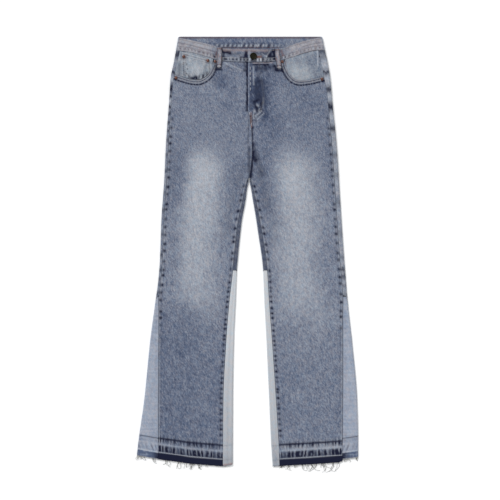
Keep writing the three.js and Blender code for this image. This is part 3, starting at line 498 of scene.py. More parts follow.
def swept(paths, radii, sides):
    """Points and faces of many tubes at once: paths by points by xyz, radii by points."""
    count, length = paths.shape[:2]
    tangent = np.gradient(paths, axis=1)
    tangent /= np.linalg.norm(tangent, axis=-1, keepdims=True) + 1e-9
    beside = np.cross(tangent, [0, 0, 1.0])
    beside /= np.linalg.norm(beside, axis=-1, keepdims=True) + 1e-9
    above = np.cross(beside, tangent)
    angle = 2 * np.pi * np.arange(sides) / sides
    ring = np.cos(angle)[:, None] * beside[:, :, None] + np.sin(angle)[:, None] * above[:, :, None]
    radii = np.broadcast_to(radii, (count, length))
    points = paths[:, :, None] + radii[:, :, None, None] * ring
    number = np.arange(count * length * sides).reshape(count, length, sides)
    turned = np.roll(number, -1, axis=2)
    quads = np.stack([number[:, :-1], number[:, 1:], turned[:, 1:], turned[:, :-1]], -1)
    caps = np.concatenate([number[:, 0], number[:, -1, ::-1]])
    return points.reshape(-1, 3), quads.reshape(-1, 4).tolist() + caps.tolist()


# Materials. The lights give a level surface this much light, so colours are divided by it.
LIGHT = 1.16


def linear(*srgb):
    """A colour in linear light from its 0 to 255 values in the photograph's light."""
    value = np.array(srgb) / 255
    value = np.where(value < 0.04045, value / 12.92, ((value + 0.055) / 1.055) ** 2.4)
    return (*(value / LIGHT), 1.0)


class Shader:
    """Short ways to add and join the nodes of one material."""

    def __init__(self, name, **constants):
        self.material = bpy.data.materials.new(name)
        self.material.use_nodes = True
        self.nodes = self.material.node_tree.nodes
        self.links = self.material.node_tree.links
        self.surface = self.nodes["Principled BSDF"]
        for key, value in constants.items():
            self.surface.inputs[key.replace("_", " ")].default_value = value
        self.coordinates = self.nodes.new("ShaderNodeTexCoord").outputs["Object"]

    def put(self, socket, value):
        if isinstance(value, bpy.types.NodeSocket):
            self.links.new(value, socket)
        else:
            socket.default_value = value

    def math(self, operation, *values, clamp=False):
        node = self.nodes.new("ShaderNodeMath")
        node.operation = operation
        node.use_clamp = clamp
        for socket, value in zip(node.inputs, values):
            self.put(socket, value)
        return node.outputs[0]

    def blend(self, part, start, end, kind="MIX"):
        node = self.nodes.new("ShaderNodeMix")
        node.data_type = "RGBA"
        node.blend_type = kind
        self.put(node.inputs["Factor"], part)
        self.put(node.inputs[6], start)
        self.put(node.inputs[7], end)
        return node.outputs[2]

    def spread(self, scale, turn=0.0):
        """Object coordinates stretched by three scales and turned about the vertical."""
        node = self.nodes.new("ShaderNodeMapping")
        node.vector_type = "TEXTURE"
        node.inputs["Rotation"].default_value = (0, 0, turn)
        node.inputs["Scale"].default_value = [1 / value for value in scale]
        self.put(node.inputs["Vector"], self.coordinates)
        return node.outputs[0]

    def noise(self, scale, detail=2.0, roughness=0.5, turn=0.0):
        node = self.nodes.new("ShaderNodeTexNoise")
        node.inputs["Scale"].default_value = 1.0
        node.inputs["Detail"].default_value = detail
        node.inputs["Roughness"].default_value = roughness
        self.put(node.inputs["Vector"], self.spread(scale, turn))
        return node.outputs["Fac"]

    def stripes(self, pitch, turn):
        """Straight lines a pitch apart, in metres, between 0 and 1."""
        node = self.nodes.new("ShaderNodeTexWave")
        node.bands_direction = "X"
        node.inputs["Scale"].default_value = math.pi / 10
        node.inputs["Distortion"].default_value = 1.2
        node.inputs["Detail"].default_value = 1.0
        self.put(node.inputs["Vector"], self.spread((1 / pitch,) * 3, turn))
        return node.outputs["Fac"]

    def mark(self, name):
        node = self.nodes.new("ShaderNodeAttribute")
        node.attribute_name = name
        return node.outputs["Fac"]

    def relief(self, height, distance, strength=1.0):
        node = self.nodes.new("ShaderNodeBump")
        node.inputs["Distance"].default_value = distance
        node.inputs["Strength"].default_value = strength
        self.put(node.inputs["Height"], height)
        self.put(self.surface.inputs["Normal"], node.outputs[0])

    def colour(self, value):
        self.put(self.surface.inputs["Base Color"], value)


REACH = 0.4  # how far a cloth's colour may go past its deep and pale tones
INK_AND_SHADE = linear(9, 17, 46)
CHALK = linear(196, 200, 208)
RUST = linear(142, 104, 98)
COOL = (0.88, 0.96, 1.015, 1.0)
WARM = (1.005, 0.95, 0.925, 1.0)


def denim(name, deep, pale, ink=INK_AND_SHADE, chalk=CHALK, grain=1.0, turn=0.6):
    """Washed twill: fade turns deep into pale; ink with painted shadow, rust and chalk lie over both."""
    shader = Shader(name, Roughness=0.92, Sheen_Weight=0.06, Sheen_Roughness=0.5)
    shader.surface.inputs["Specular IOR Level"].default_value = 0.25
    speck = shader.noise((290, 290, 290), 3, 0.75)
    slub = shader.noise((560, 80, 300), 2, 0.6)
    rib = shader.noise((420, 120, 300), 2, 0.6, turn)
    blot = shader.noise((90, 70, 90), 3, 0.6)
    cloud = shader.noise((30, 24, 30), 3, 0.6)
    centred = shader.math("SUBTRACT", speck, 0.5)
    tone = shader.math("MULTIPLY_ADD", centred, 1.3 * grain, shader.mark("fade"))
    for layer, amount in ((slub, 0.85), (rib, 1.25), (blot, 0.3), (cloud, 0.34)):
        tone = shader.math("MULTIPLY_ADD", shader.math("SUBTRACT", layer, 0.5), amount * grain, tone)
    above = shader.math("DIVIDE", tone, 1 + REACH, clamp=True)
    below = shader.math("DIVIDE", tone, -REACH, clamp=True)
    darkest = (*(part * value for part, value in zip((0.36, 0.42, 0.54), deep[:3])), 1.0)
    palest = (*((1 + REACH) * light - REACH * dark for dark, light in zip(deep[:3], pale[:3])), 1.0)
    colour = shader.blend(below, shader.blend(above, deep, palest), darkest)
    uneven = shader.math("MULTIPLY_ADD", centred, 1.3, 1.0)
    for mark, over in (("ink", ink), ("rust", RUST), ("chalk", chalk)):
        part = shader.math("MULTIPLY", shader.mark(mark), uneven, clamp=True)
        colour = shader.blend(part, colour, over)
    hue = shader.math("MULTIPLY_ADD", shader.noise((130, 110, 130), 3, 0.7), 3.0, -1.0, clamp=True)
    colour = shader.blend(1.0, colour, shader.blend(hue, COOL, WARM), "MULTIPLY")
    twill = shader.stripes(0.0011, turn)
    fine = shader.math("MULTIPLY_ADD", twill, 0.16, 0.92)
    node = shader.nodes.new("ShaderNodeVectorMath")
    node.operation = "SCALE"
    shader.put(node.inputs[0], colour)
    shader.put(node.inputs["Scale"], fine)
    shader.colour(node.outputs[0])
    height = shader.math("MULTIPLY_ADD", speck, 1.4, twill)
    shader.relief(height, 0.00022, 0.7)
    return shader.material


materials = {
    "denim": denim("denim", linear(101, 110, 131), linear(174, 178, 187)),
    "facing": denim("denim_facing", linear(118, 127, 143), linear(176, 181, 187)),
    "band": denim("denim_band", linear(96, 107, 131), linear(172, 176, 184)),
    "light": denim("denim_light", linear(144, 153, 172), linear(186, 190, 200), grain=0.8),
    "canvas": denim("canvas", linear(184, 187, 193), linear(205, 208, 212), grain=0.4),
    "loop": denim("denim_loop", linear(112, 112, 126), linear(180, 176, 178)),
}


def thread_material(name, colour, roughness=0.7):
    shader = Shader(name, Roughness=roughness)
    speck = shader.noise((900, 900, 900), 2, 0.6)
    twist = shader.stripes(0.0006, 0.9)
    dark = tuple(0.62 * value for value in colour[:3]) + (1.0,)
    shader.colour(shader.blend(shader.math("MULTIPLY", speck, twist), colour, dark))
    shader.relief(twist, 0.0001, 0.5)
    return shader.material


THREADS = {
    "white": thread_material("thread_white", linear(186, 188, 196)),
    "slate": thread_material("thread_slate", linear(132, 138, 152)),
    "navy": thread_material("thread_navy", linear(44, 52, 78)),
    "tan": thread_material("thread_tan", linear(158, 148, 146)),
    "brown": thread_material("thread_brown", linear(138, 92, 76)),
    "frayed": thread_material("thread_frayed", linear(122, 121, 116), 0.9),
}


# Sewing: stitches are collected by thread and made into one mesh each at the end
SEWN = {name: [] for name in THREADS}


def sew(thread, points, stitch=3.0, gap=0.9, width=0.75):
    """A row of stitches along a line of points, which lie on the cloth."""
    points = np.asarray(points, float)
    travelled = np.concatenate([[0], np.cumsum(np.linalg.norm(np.diff(points, axis=0), axis=1))])
    count = int(travelled[-1] // (stitch + gap))
    if count < 1:
        return
    pitch = travelled[-1] / count
    along = (np.arange(count)[:, None] + 0.5) * pitch
    along = along + np.array([-0.5, -0.32, 0, 0.32, 0.5]) * (pitch - gap)
    path = np.stack([np.interp(along, travelled, points[:, axis]) for axis in range(3)], -1)
    path[:, :, 2] += width * np.array([-0.55, 0.1, 0.24, 0.1, -0.55])
    path[:, :, 2] = np.maximum(path[:, :, 2], width / 2 + FLOOR_CLEAR)
    SEWN[thread].append((path, width / 2))


def finish_sewing():
    for thread, rows in SEWN.items():
        if not rows:
            continue
        points, faces, count = [], [], 0
        for path, radius in rows:
            more_points, more_faces = swept(path, radius, 5)
            points.append(more_points)
            faces += [[corner + count for corner in face] for face in more_faces]
            count += len(more_points)
        obj = mesh_object(f"stitching_{thread}", np.concatenate(points), faces)
        link(obj, (), THREADS[thread])


# Front panels
def front_inner(side, down):
    leg = edge_of(side, "inseam", down) + strip_of(side, "inseam", down) + SEAM_GAP / 2
    seam = centre_out(side, down) + SEAM_GAP / 2
    if side == "right":
        seam = mix(BAND_START[side], seam, ease(FLY_END - 20, FLY_END, down))
    return mix(seam, leg, np.clip((down - CROTCH + 3) / 3, 0, 1))


def front_outer(side, down):
    return edge_of(side, "outseam", down) - strip_of(side, "outseam", down) - SEAM_GAP / 2


def front_top(side, out):
    under_band = band_edge(side, out, "bottom") + BAND_GAP
    past = out > SIDES[side]["mouth"]["out"][0]
    return np.where(past, np.maximum(under_band, mouth_at(side, out)), under_band)


def front_hem(side, out):
    """The front's raw hem runs on level where the outseam gusset's hem steps up."""
    if side == "right":
        return hem_at(side, out)
    hem = SIDES[side]["hem"]
    slope = (hem["down"][3] - hem["down"][2]) / (hem["out"][3] - hem["out"][2])
    past = np.maximum(out - hem["out"][3], 0)
    return hem_at(side, np.minimum(out, hem["out"][3])) + slope * past


def mouth_line(side, inward=0.0):
    """The pocket mouth as a line of points, moved down onto the front panel."""
    mouth = SIDES[side]["mouth"]
    out = np.linspace(mouth["out"][0], front_outer(side, 105), 60)
    line = np.stack([out, mouth_at(side, out)], -1)
    step = np.gradient(line, axis=0)
    step /= np.linalg.norm(step, axis=1, keepdims=True)
    return line + inward * np.stack([-step[:, 1], step[:, 0]], -1)


FLY_LINE = [(22.4, 64.8), (25, 82), (30, 110), (34, 140), (34.8, 161), (32, 178), (26, 191),
            (18, 202), (8, 205), (1.5, 193)]

# Spots and strokes of dye, chalky thread, rust and wear on each piece, and dark strokes of painted
# shadow beside the fly, the waistband's end and the belt loops: from one end to the other, half width,
# strength. On the waistband "down" runs across the band from its top edge.
STROKES = {
    "front_left": {
        "ink": [
            (8, 71, 46, 71, 2, 0.95), (15, 118, 18, 160, 8, 0.5), (30, 118, 30, 158, 9, 0.36),
            (17, 79, 40, 81, 8, 0.65), (44, 74, 60, 76, 4, 0.35), (20, 96, 24, 116, 6, 0.35),
            (11, 165, 14, 178, 4.5, 0.75), (18, 180, 18, 188, 4, 0.85), (29, 170, 27, 188, 4, 0.8),
            (22, 160, 40, 172, 5, 0.3), (15, 206, 32, 193, 1.3, 0.65), (12, 198, 25, 186, 1.2, 0.6),
            (12, 193, 12, 206, 1.3, 0.6), (15, 209, 15, 218, 1.6, 0.5), (6, 190, 6, 214, 1.6, 0.8),
            (9, 229, 9, 231, 2, 0.7), (8, 274, 15, 312, 7, 0.6), (6, 300, 1, 352, 5, 0.75),
            (4, 232, 6, 300, 3, 0.55), (5, 300, 0, 372, 3.4, 0.6), (16, 312, 30, 345, 9, 0.36),
            # Painted shadow round the foot of the belt loop: the strokes from (64, 74) round to (85, 74).
            (24, 350, 40, 420, 14, 0.2), (52, 430, 62, 520, 14, 0.12), (64, 74, 67, 84, 2.8, 0.9),
            (67, 86, 82, 87, 2.6, 1.1), (83, 86, 85, 74, 2.2, 0.8), (58, 72, 62, 90, 5, 0.4),
            (6, 214, 7, 262, 1.8, 0.5), (86, 128, 96, 130, 8, 0.12), (183, 108, 184, 109, 5.5, 0.8)],
        "chalk": [
            (8, 67, 56, 66, 1.4, 0.35), (9, 76, 9, 122, 1.6, 0.4), (34, 156, 33, 182, 1.7, 0.2),
            (11, 189, 12, 190, 2.6, 0.6), (18, 173, 21, 176, 2.4, 0.5), (24, 184, 22, 190, 2, 0.35),
            (14, 202, 29, 189, 1.4, 0.55), (18, 210, 35, 195, 1.4, 0.5), (9, 196, 9, 206, 1.7, 0.5)],
        "rust": [
            (8, 67, 56, 66, 1.4, 0.5), (3, 194, 3, 228, 2.2, 0.55)],
        "fade": [
            (15, 118, 18, 160, 8, -0.4), (30, 118, 30, 158, 9, -0.4), (26, 112, 28, 168, 20, -0.3),
            (17, 79, 40, 81, 8, -0.3), (24, 172, 34, 200, 15, -0.36), (50, 90, 46, 210, 20, -0.1),
            (3, 72, 3, 180, 9, -0.32), (16, 260, 36, 420, 24, -0.04), (34, 205, 38, 300, 18, -0.05),
            (72, 210, 76, 320, 20, -0.14), (60, 330, 52, 440, 20, -0.12), (80, 90, 150, 165, 34, -0.12),
            (96, 480, 96, 590, 20, -0.08), (62, 1040, 222, 1036, 9, 0.35)],
    },
    "front_right": {
        "ink": [
            # Painted shadow: the strokes along out 7 beside the fly's overlapping edge, and those from (88,
            # 68) to (72, 84) round the foot of the belt loop.
            (7, 66, 7, 96, 3, 1.2), (7, 96, 7, 150, 2.4, 1.1), (7, 150, 7, 187, 3.2, 1.3),
            (46, 72, 14, 88, 3, 0.3), (14, 68, 12, 86, 3.4, 0.6), (60, 74, 46, 81, 2, 0.4),
            (88, 68, 88, 82, 2.6, 0.9), (88, 83, 72, 84, 2.6, 1.1), (3, 210, 5, 270, 2, 0.5),
            (3, 280, 1, 358, 4, 0.6), (14, 330, 30, 370, 12, 0.18), (40, 400, 60, 500, 14, 0.16),
            (86, 108, 92, 116, 8, 0.16), (196, 290, 198, 400, 12, 0.08), (187, 105, 188, 106, 5, 0.6)],
        "chalk": [
            (63, 67, 22, 84, 1.8, 0.4), (50, 76, 34, 88, 1.6, 0.25), (30, 92, 27, 150, 7, 0.08)],
        "fade": [
            (29, 505, 36, 600, 12, 0.26), (86, 80, 72, 120, 16, -0.3), (34, 80, 44, 170, 28, -0.16),
            (170, 290, 176, 420, 20, -0.12), (188, 520, 194, 620, 16, -0.1)],
    },
    "band_left": {
        "ink": [
            # Painted shade beside the belt loop: the strokes from (58, 4) to (66, 33) and from (80, 8) to
            # (84, 24).
            (16, 12, 36, 14, 4, 0.35), (14, 28, 54, 28, 4, 0.85), (44, 27, 52, 28, 3.6, 0.6),
            (48, 12, 50, 22, 6, 0.5), (58, 4, 62, 14, 3.6, 0.95), (61, 14, 66, 33, 2.6, 0.8),
            (48, 19, 62, 21, 6, 0.7), (30, 8, 60, 8, 5, 0.3), (0, 30, 12, 32, 2.4, 0.5),
            (2, 6, 14, 7, 2, 0.5), (80, 8, 84, 24, 3, 0.35), (134, 14, 176, 14, 1.3, 0.45),
            (124, 32, 172, 32, 1.3, 0.6)],
        "chalk": [
            (-5, 3.8, 44, 3.8, 3.6, 0.22), (51, 4, 42, 19, 1.5, 0.4), (42, 19, 41, 27, 1.5, 0.4),
            (30, 12, 41, 19, 1.4, 0.35), (20, 26, 20, 31, 2, 0.85), (27, 25, 27, 31, 1.8, 0.85),
            (-2, 8, -2, 30, 1.6, 0.4)],
        "rust": [
            (-5, 3.8, 44, 3.8, 3.6, 0.45), (14, 20, 24, 21, 3, 0.9), (2, 6, 14, 7, 2, 0.2),
            (80, 8, 84, 24, 3, 0.4)],
        "fade": [
            (30, 8, 60, 8, 5, -0.3)],
    },
    "band_right": {
        "ink": [
            # Painted shadow: the stroke along out 10 beside the overlapping end of the other waistband, and
            # those at out 66 and 84 on both sides of the belt loop.
            (70, 7, 52, 10, 4.6, 1.3), (10, 5, 10, 33, 3.2, 1.2), (12, 18, 24, 28, 5, 0.4),
            (24, 12, 46, 14, 4, 0.3), (66, 8, 68, 32, 2.6, 0.7), (84, 14, 86, 28, 2.4, 0.6),
            (90, 15, 150, 14, 1.5, 0.5), (150, 14, 183, 13, 1.5, 0.45), (90, 25, 150, 25, 1.2, 0.35)],
        "chalk": [
            (0, 3.6, 66, 3.6, 3.4, 0.22), (92, 6, 168, 6, 8, 0.14), (30, 22, 62, 24, 2, 0.3)],
        "rust": [
            (0, 3.6, 66, 3.6, 3.4, 0.45), (84, 14, 86, 28, 2.4, 0.4)],
    },
    "facing_left": {
        "ink": [
            (176, 36, 186, 38, 2.6, 0.85), (177, 38, 178, 50, 2.4, 0.8), (178, 51, 188, 50, 2.4, 0.7),
            (182, 62, 186, 66, 4, 0.5), (90, 62, 88, 74, 3, 0.4)],
        "chalk": [
            (171, 32, 172, 72, 1.7, 0.6), (184, 43, 184, 43, 2.4, 0.6), (100, 70, 150, 96, 24, 0.1)],
        "rust": [
            (90, 62, 88, 74, 3, 0.2)],
        "fade": [
            (164, 60, 176, 104, 20, -0.4), (110, 62, 150, 70, 16, -0.2)],
    },
    "facing_right": {
        "ink": [
            (186, 34, 190, 50, 4.5, 0.9), (178, 70, 180, 96, 4, 0.4), (92, 62, 94, 90, 3, 0.4),
            (106, 96, 110, 102, 4, 0.4)],
        "chalk": [
            (178, 38, 180, 60, 2, 0.4), (98, 74, 96, 88, 4, 0.3)],
    },
    "coin": {
        "ink": [
            (136, 104, 134, 112, 5, 0.9), (146, 105, 142, 112, 4, 0.8), (118, 98, 120, 112, 3, 0.8),
            (128, 98, 127, 106, 1.8, 0.5), (156, 98, 150, 108, 3, 0.5), (108, 92, 110, 104, 3, 0.6),
            (160, 70, 160, 71, 1.6, 0.8), (159, 82, 159, 83, 1.6, 0.8), (160, 94, 160, 95, 1.6, 0.8),
            (159, 105, 159, 106, 1.6, 0.8), (112, 74, 116, 92, 5, 0.25), (168, 66, 167, 100, 2, 0.4),
            (167, 51, 168, 52, 6, 0.7), (107, 61, 106, 62, 6, 0.8)],
        "chalk": [
            (132, 78, 133, 96, 3, 0.35), (122, 76, 121, 92, 2, 0.35), (146, 80, 148, 98, 3, 0.3)],
        "rust": [
            (167, 51, 168, 52, 6, 0.3), (107, 61, 106, 62, 6, 0.3)],
    },
}


def bounded(marks):
    """Marks kept within what the cloth's colours can show."""
    return {key: np.clip(value, -REACH, 1 + REACH) for key, value in marks.items()}


def paint(name, out, down, marks):
    """Adds a piece's strokes to its marks, with ragged edges."""
    ragged = 1 + 0.2 * ripple(out, down, 12, 8)
    for key, rows in STROKES[name].items():
        for start_out, start_down, end_out, end_down, wide, strength in rows:
            run_out, run_down = end_out - start_out, end_down - start_down
            from_out, from_down = out - start_out, down - start_down
            part = (from_out * run_out + from_down * run_down) / max(run_out ** 2 + run_down ** 2, 1e-6)
            part = np.clip(part, 0, 1)
            away = np.hypot(from_out - part * run_out, from_down - part * run_down)
            marks[key] = marks.get(key, 0.0) + strength * bump(0, wide, away * ragged)
    return bounded(marks)


def soft_folds(side, out, down):
    height = 0.0
    for start_out, start_down, end_out, end_down, width, tall in zip(*FOLDS[side].values()):
        run_out, run_down = end_out - start_out, end_down - start_down
        length = math.hypot(run_out, run_down)
        along = ((out - start_out) * run_out + (down - start_down) * run_down) / length
        beside = ((out - start_out) * run_down - (down - start_down) * run_out) / length
        fade = ease(-width, width, along) * ease(-width, width, length - along)
        height = height + tall * fade * bump(0, width, beside)
    return height


def fly_lap(side, out, down):
    if side == "right":
        return 0.0
    return (1 - ease(LAP - 5, LAP + 12, out)) * (1 - ease(FLY_END, FLY_END + 24, down))


def front_base(side, out, down):
    """Height of a front panel with its soft folds alone."""
    lap = (WALL + SEAM_GAP) * fly_lap(side, out, down)
    return over_at(down) + soft_folds(side, out, down) + lap


def inside_mouth(side, out):
    """True between the centre front and the pocket mouth, where the front meets the waistband."""
    return out < SIDES[side]["mouth"]["out"][0] - 2


def seam_run(down):
    """1 along a leg seam, nothing at the pockets and the hem."""
    return ease(*SEAM_TOP, down) * (1 - ease(*SEAM_FOOT, down))


def hem_line(column, above):
    return read(HEM_LINES, "above", column, above)


def front_lines(side, out, down):
    """Distances from each point of a front to the seams that shape it."""
    from_mouth, along_mouth = distance_to(mouth_line(side), out, down)
    return {
        "outseam": front_outer(side, down) - out,
        "inseam": out - front_inner(side, down),
        "hem": front_hem(side, out) - down,
        "mouth": from_mouth,
        "along_mouth": along_mouth,
        "waist": down - band_edge(side, out, "bottom"),
    }


def seam_ticks(side, down, seam):
    """Uneven puckers along a leg seam, 1 where the cloth is drawn in."""
    seed = {"outseam": 11, "inseam": 23}[seam] + (5 if side == "left" else 0)
    wide = dots(down, 21, 3.8, seed)
    close = dots(down, 13.5, 3.3, seed + 1)
    if seam == "inseam":
        row = mix(wide, close, ease(560, 640, down)) * ease(CROTCH - 10, CROTCH + 20, down)
    else:
        row = wide * (1 - 0.8 * ease(700, 780, down))
    return row * seam_run(down)


def hem_gathers(side, out, down, above):
    seed = 40 if side == "left" else 44
    lean = above * (0.1 * np.sin(out / 31) + 0.06 * np.sin(out / 13))
    lower = beads(out + lean, HEM_PITCH, seed) + 0.25 * ripple(out, 0.4 * above, 6, seed + 2)
    upper = beads(out + 0.6 * lean, HEM_PITCH * 0.95, seed + 1)
    upper = upper + 0.2 * ripple(out, 0.4 * above, 6, seed + 3)
    return mix(lower, upper, ease(34, 40, above))


def front_height(side, out, down, lines=None):
    """Height of the outer face of a front panel."""
    lines = lines or front_lines(side, out, down)
    above, mouth = lines["hem"], lines["mouth"]
    seams = np.minimum(lines["outseam"], lines["inseam"])
    height = front_base(side, out, down)
    height += 0.22 * ripple(out, down, 70, 3) + 0.08 * ripple(out, down, 22, 4)
    for seam, reach, deep in (("outseam", 4, 0.55), ("inseam", 4.5, 0.6)):
        height -= deep * seam_ticks(side, down, seam) * bump(reach, reach, lines[seam])
    gathers = hem_gathers(side, out, down, above)
    height += hem_line("proud", above) + hem_line("pucker", above) * ease(0, 6, seams) * gathers
    knots = beads(lines["along_mouth"], 7, 61)
    height += (bump(1.6, 1.6, mouth) + bump(6.8, 2.2, mouth)) * (0.35 + 0.16 * knots)
    height -= 0.35 * bump(3.9, 1.2, mouth) + 0.4 * bump(10.8, 1.5, mouth)
    waist = bump(2.5, 3, lines["waist"]) * inside_mouth(side, out)
    height += 0.25 * waist * beads(out, 8, 71 if side == "left" else 72)
    if side == "left":
        from_fly, _ = distance_to(FLY_LINE, out, down)
        height += 0.22 * bump(1.5, 1.3, from_fly) - 0.2 * bump(0, 0.8, from_fly)
        edge = bump(3.2, 2.6, lines["inseam"]) * (down < FLY_END)
        height += edge * (0.25 + 0.15 * beads(down, 6, 73))
    return height - 0.5 * bump(0, EDGE_ROUND, np.minimum(seams, above))


def front_marks(side, out, down, lines):
    """Fade, ink and chalk of a front panel; some of the ink is painted shadow beside the fly and the belt
    loops.
    """
    above, mouth = lines["hem"], lines["mouth"]
    centre, inward, outward, core, rest = (
        read(FADES[side], "down", column, down) for column in ("centre", "inner", "outer", "core", "rest"))
    beside = out - centre + 3 * ripple(out, down, 70, 5)
    beside = np.maximum(beside / outward, -beside / inward)
    fade = mix(rest, core, np.exp(-0.69 * beside ** 2.4))
    fade += 0.02 * ripple(out, down, 46, 6) + 0.03 * ripple(out, down, 16, 7)
    gathers = hem_gathers(side, out, down, above)
    trough = 1 - ease(-0.15, 0.45, gathers)
    length = 0.75 + 0.4 * ripple(out, 0 * out, 13, 9)
    ink = hem_line("ink", above) + 0.9 * hem_line("trough", above) * trough * length
    chalk = hem_line("chalk", above) + hem_line("crest", above) * ease(0.1, 0.8, gathers)
    for seam, reach in (("outseam", 5), ("inseam", 5.5)):
        ticks = seam_ticks(side, down, seam)
        beside = lines[seam]
        run = seam_run(down)
        if seam == "inseam":
            run = run * (down > CROTCH)
        ink += 1.25 * ticks * bump(reach, 3.8, beside)
        ink += run * (0.5 * bump(0, 1.3, beside) + 0.08 * bump(3, 4, beside))
        chalk += 0.28 * run * (1 - ticks) * bump(2.6, 1.4, beside)
    knots = beads(lines["along_mouth"], 6.5, 61)
    chalk += 0.34 * (bump(1.4, 1.4, mouth) + bump(6.2, 1.6, mouth)) * (0.75 + 0.35 * knots)
    ink += bump(3.8, 1.3, mouth) * (0.8 - 0.3 * knots)
    ink += 1.5 * bump(10.8, 2, mouth) * np.clip(0.72 - 0.5 * knots, 0, 1)
    ink += 0.5 * inside_mouth(side, out) * bump(0.5, 1.6, lines["waist"])
    if side == "left":
        from_fly, along_fly = distance_to(FLY_LINE, out, down)
        chalk += 0.1 * bump(1.6, 1.4, from_fly) * (0.7 + 0.4 * beads(along_fly, 5, 74))
        ink += 0.25 * bump(0, 0.9, from_fly)
        fly = down < FLY_END - 2
        chalk += 0.15 * fly * bump(1.2, 1.4, lines["inseam"])
        ink += 0.8 * fly * bump(7.2, 1.8, lines["inseam"]) * dots(down, 11.5, 3.2, 75)
    return paint(f"front_{side}", out, down, {"fade": fade, "ink": ink, "chalk": chalk})


def front_grid(side, rows, parts):
    level, to_top, to_hem = rows
    down = level + 0 * parts
    for _ in range(10):
        out = mix(front_outer(side, down), front_inner(side, down), parts)
        top = front_top(side, out) - TOP_ZONE
        down = level + to_top * top + to_hem * (front_hem(side, out) - HEM_ZONE)
    return out, down


def front_panel(side):
    rows = leg_rows(0, 3, [(355, 366, 1)])
    out, down = front_grid(side, rows, across(108, 0.45))
    lines = front_lines(side, out, down)
    outer = place(side, out, down, front_height(side, out, down, lines))
    inner = place(side, out, down, front_base(side, out, down) - WALL)
    cloth(f"cloth_front_{side}", [f"front_panel_{side}"], materials["denim"],
          outer, inner, front_marks(side, out, down, lines))


# Back panels, yokes and gussets
OUTSEAM_MARKS = {
    "right": table(
        "down half ink chalk",
        (45, 10, 0.8, 0), (62, 6, 0.3, 0.3), (91, 5, 0.9, 0), (106, 6, 0, 0.4), (132, 11, 0.95, 0),
        (152, 4, 0.8, 0), (164, 4, 0, 0.4), (178, 5, 0.9, 0), (196, 4, 0.8, 0), (218, 4, 0.7, 0),
        (239, 4, 0.8, 0), (262, 5, 0.5, 0), (300, 5, 0.5, 0), (340, 5, 0.6, 0), (395, 6, 0.5, 0),
        (440, 6, 0.6, 0), (500, 6, 0.5, 0), (554, 6, 0.8, 0), (592, 6, 0.6, 0), (614, 4, 0.5, 0),
        (628, 4, 0.5, 0), (651, 5, 0.6, 0), (675, 5, 0.6, 0)),
    "left": table(
        "down half ink chalk",
        (38, 8, 0.7, 0), (52, 5, 0.6, 0.2), (72, 7, 0, 0.4), (91, 5, 0.9, 0), (108, 5, 0, 0.4),
        (134, 8, 0.85, 0), (152, 5, 0, 0.4), (178, 12, 0.95, 0), (204, 6, 0, 0.35),
        (233, 9, 0.85, 0), (262, 6, 0.3, 0.2), (300, 8, 0.4, 0), (350, 8, 0.4, 0.1),
        (420, 10, 0.4, 0), (500, 10, 0.4, 0.1), (560, 6, 0.4, 0), (590, 6, 0.7, 0),
        (608, 7, 0.7, 0), (632, 5, 0.4, 0), (655, 6, 0.6, 0.2), (676, 8, 0.7, 0)),
}


def yoke_foot(turn):
    return mix(YOKE_SIDE, YOKE_CENTRE, ease(0.6, 2, turn))


def yoke_top(side, turn):
    _, _, outer_bend, _ = section(side, BACK_BAND)
    out = outer_bend + np.minimum(turn, 0) * FRONT_UNIT
    front_down = band_edge(side, out, "bottom")
    return mix(front_down, BACK_BAND, np.clip(turn, 0, 1)) + BAND_GAP


def back_marks(side, turn, down, arc):
    """Marks of the strips that show beside the front, and of the back itself."""
    shown = 1 - ease(0.9, 1.3, turn)
    fade = 0.16 + 0.03 * ripple(arc, down, 40, 31)
    seat = bump(1.5, 0.3, turn) * bump(300, 120, down)
    knee = bump(1.5, 0.28, turn) * bump(640, 120, down)
    fade += 0.55 * seat + 0.3 * knee
    uneven_down = down + 2 * ripple(arc, down, 9, 32)
    ink = 0.62 * ease(2.6, 3.02, turn) * (0.8 + 0.2 * beads(down, 17, 33))
    chalk = 0.0 * down
    for centre, half, inked, chalked in zip(*OUTSEAM_MARKS[side].values()):
        spot = bump(centre, half, uneven_down) * shown
        ink += inked * spot
        chalk += chalked * spot
    if side == "left":
        fade += 0.46 * shown * (1 - ease(680, 760, down))
    else:
        fade += 0.2 * shown
        # Painted shade, growing towards the outer edge of the right leg.
        ink += 0.1 * ease(-0.35, 0.4, turn) * shown * (1 - ease(680, 720, down))
    return bounded({"fade": fade, "ink": ink, "chalk": chalk})


def ring_shell(side, name, replaced, material, grid, marks_of, relief_of=None):
    turn, out, down = grid
    arc = arc_of(side, down, turn)
    out_outer, high_outer = ring_point(side, down, turn)
    out_inner, high_inner = ring_point(side, down, turn, WALL)
    if relief_of:
        on_front = (turn < 0) | (turn > 3)
        high_outer = high_outer + np.where(on_front, relief_of(side, turn, down, arc), 0)
    outer = place(side, out_outer, down, high_outer)
    inner = place(side, out_inner, down, high_inner)
    cloth(name, replaced, material, outer, inner, marks_of(side, turn, down, arc))


def strip_relief(side, turn, down, arc):
    """Puckers of a narrow strip on the front, which fade out at its ends."""
    outer_start = arc_of(side, down, back_outer_turn(side, down))
    from_seam = np.where(turn < 0, arc - outer_start, 8)
    wave = beads(down, 15, 35 if side == "left" else 36)
    return 0.3 * wave * ease(0, 3, from_seam) * ease(0, 4, -arc) * (down < 700)


def back_panel(side):
    fine = [(355, 376, 1), (588, 601, 0.6), (652, 700, 1.5)]
    grid = ring_grid(side, leg_rows(0, 3, fine), across(64, 0.55), back_outer_turn, back_inner_turn,
                     lambda _, turn: yoke_foot(turn) + SEAM_GAP)
    ring_shell(side, f"cloth_back_{side}", [f"back_panel_{side}"], materials["denim"], grid,
               back_marks, strip_relief)


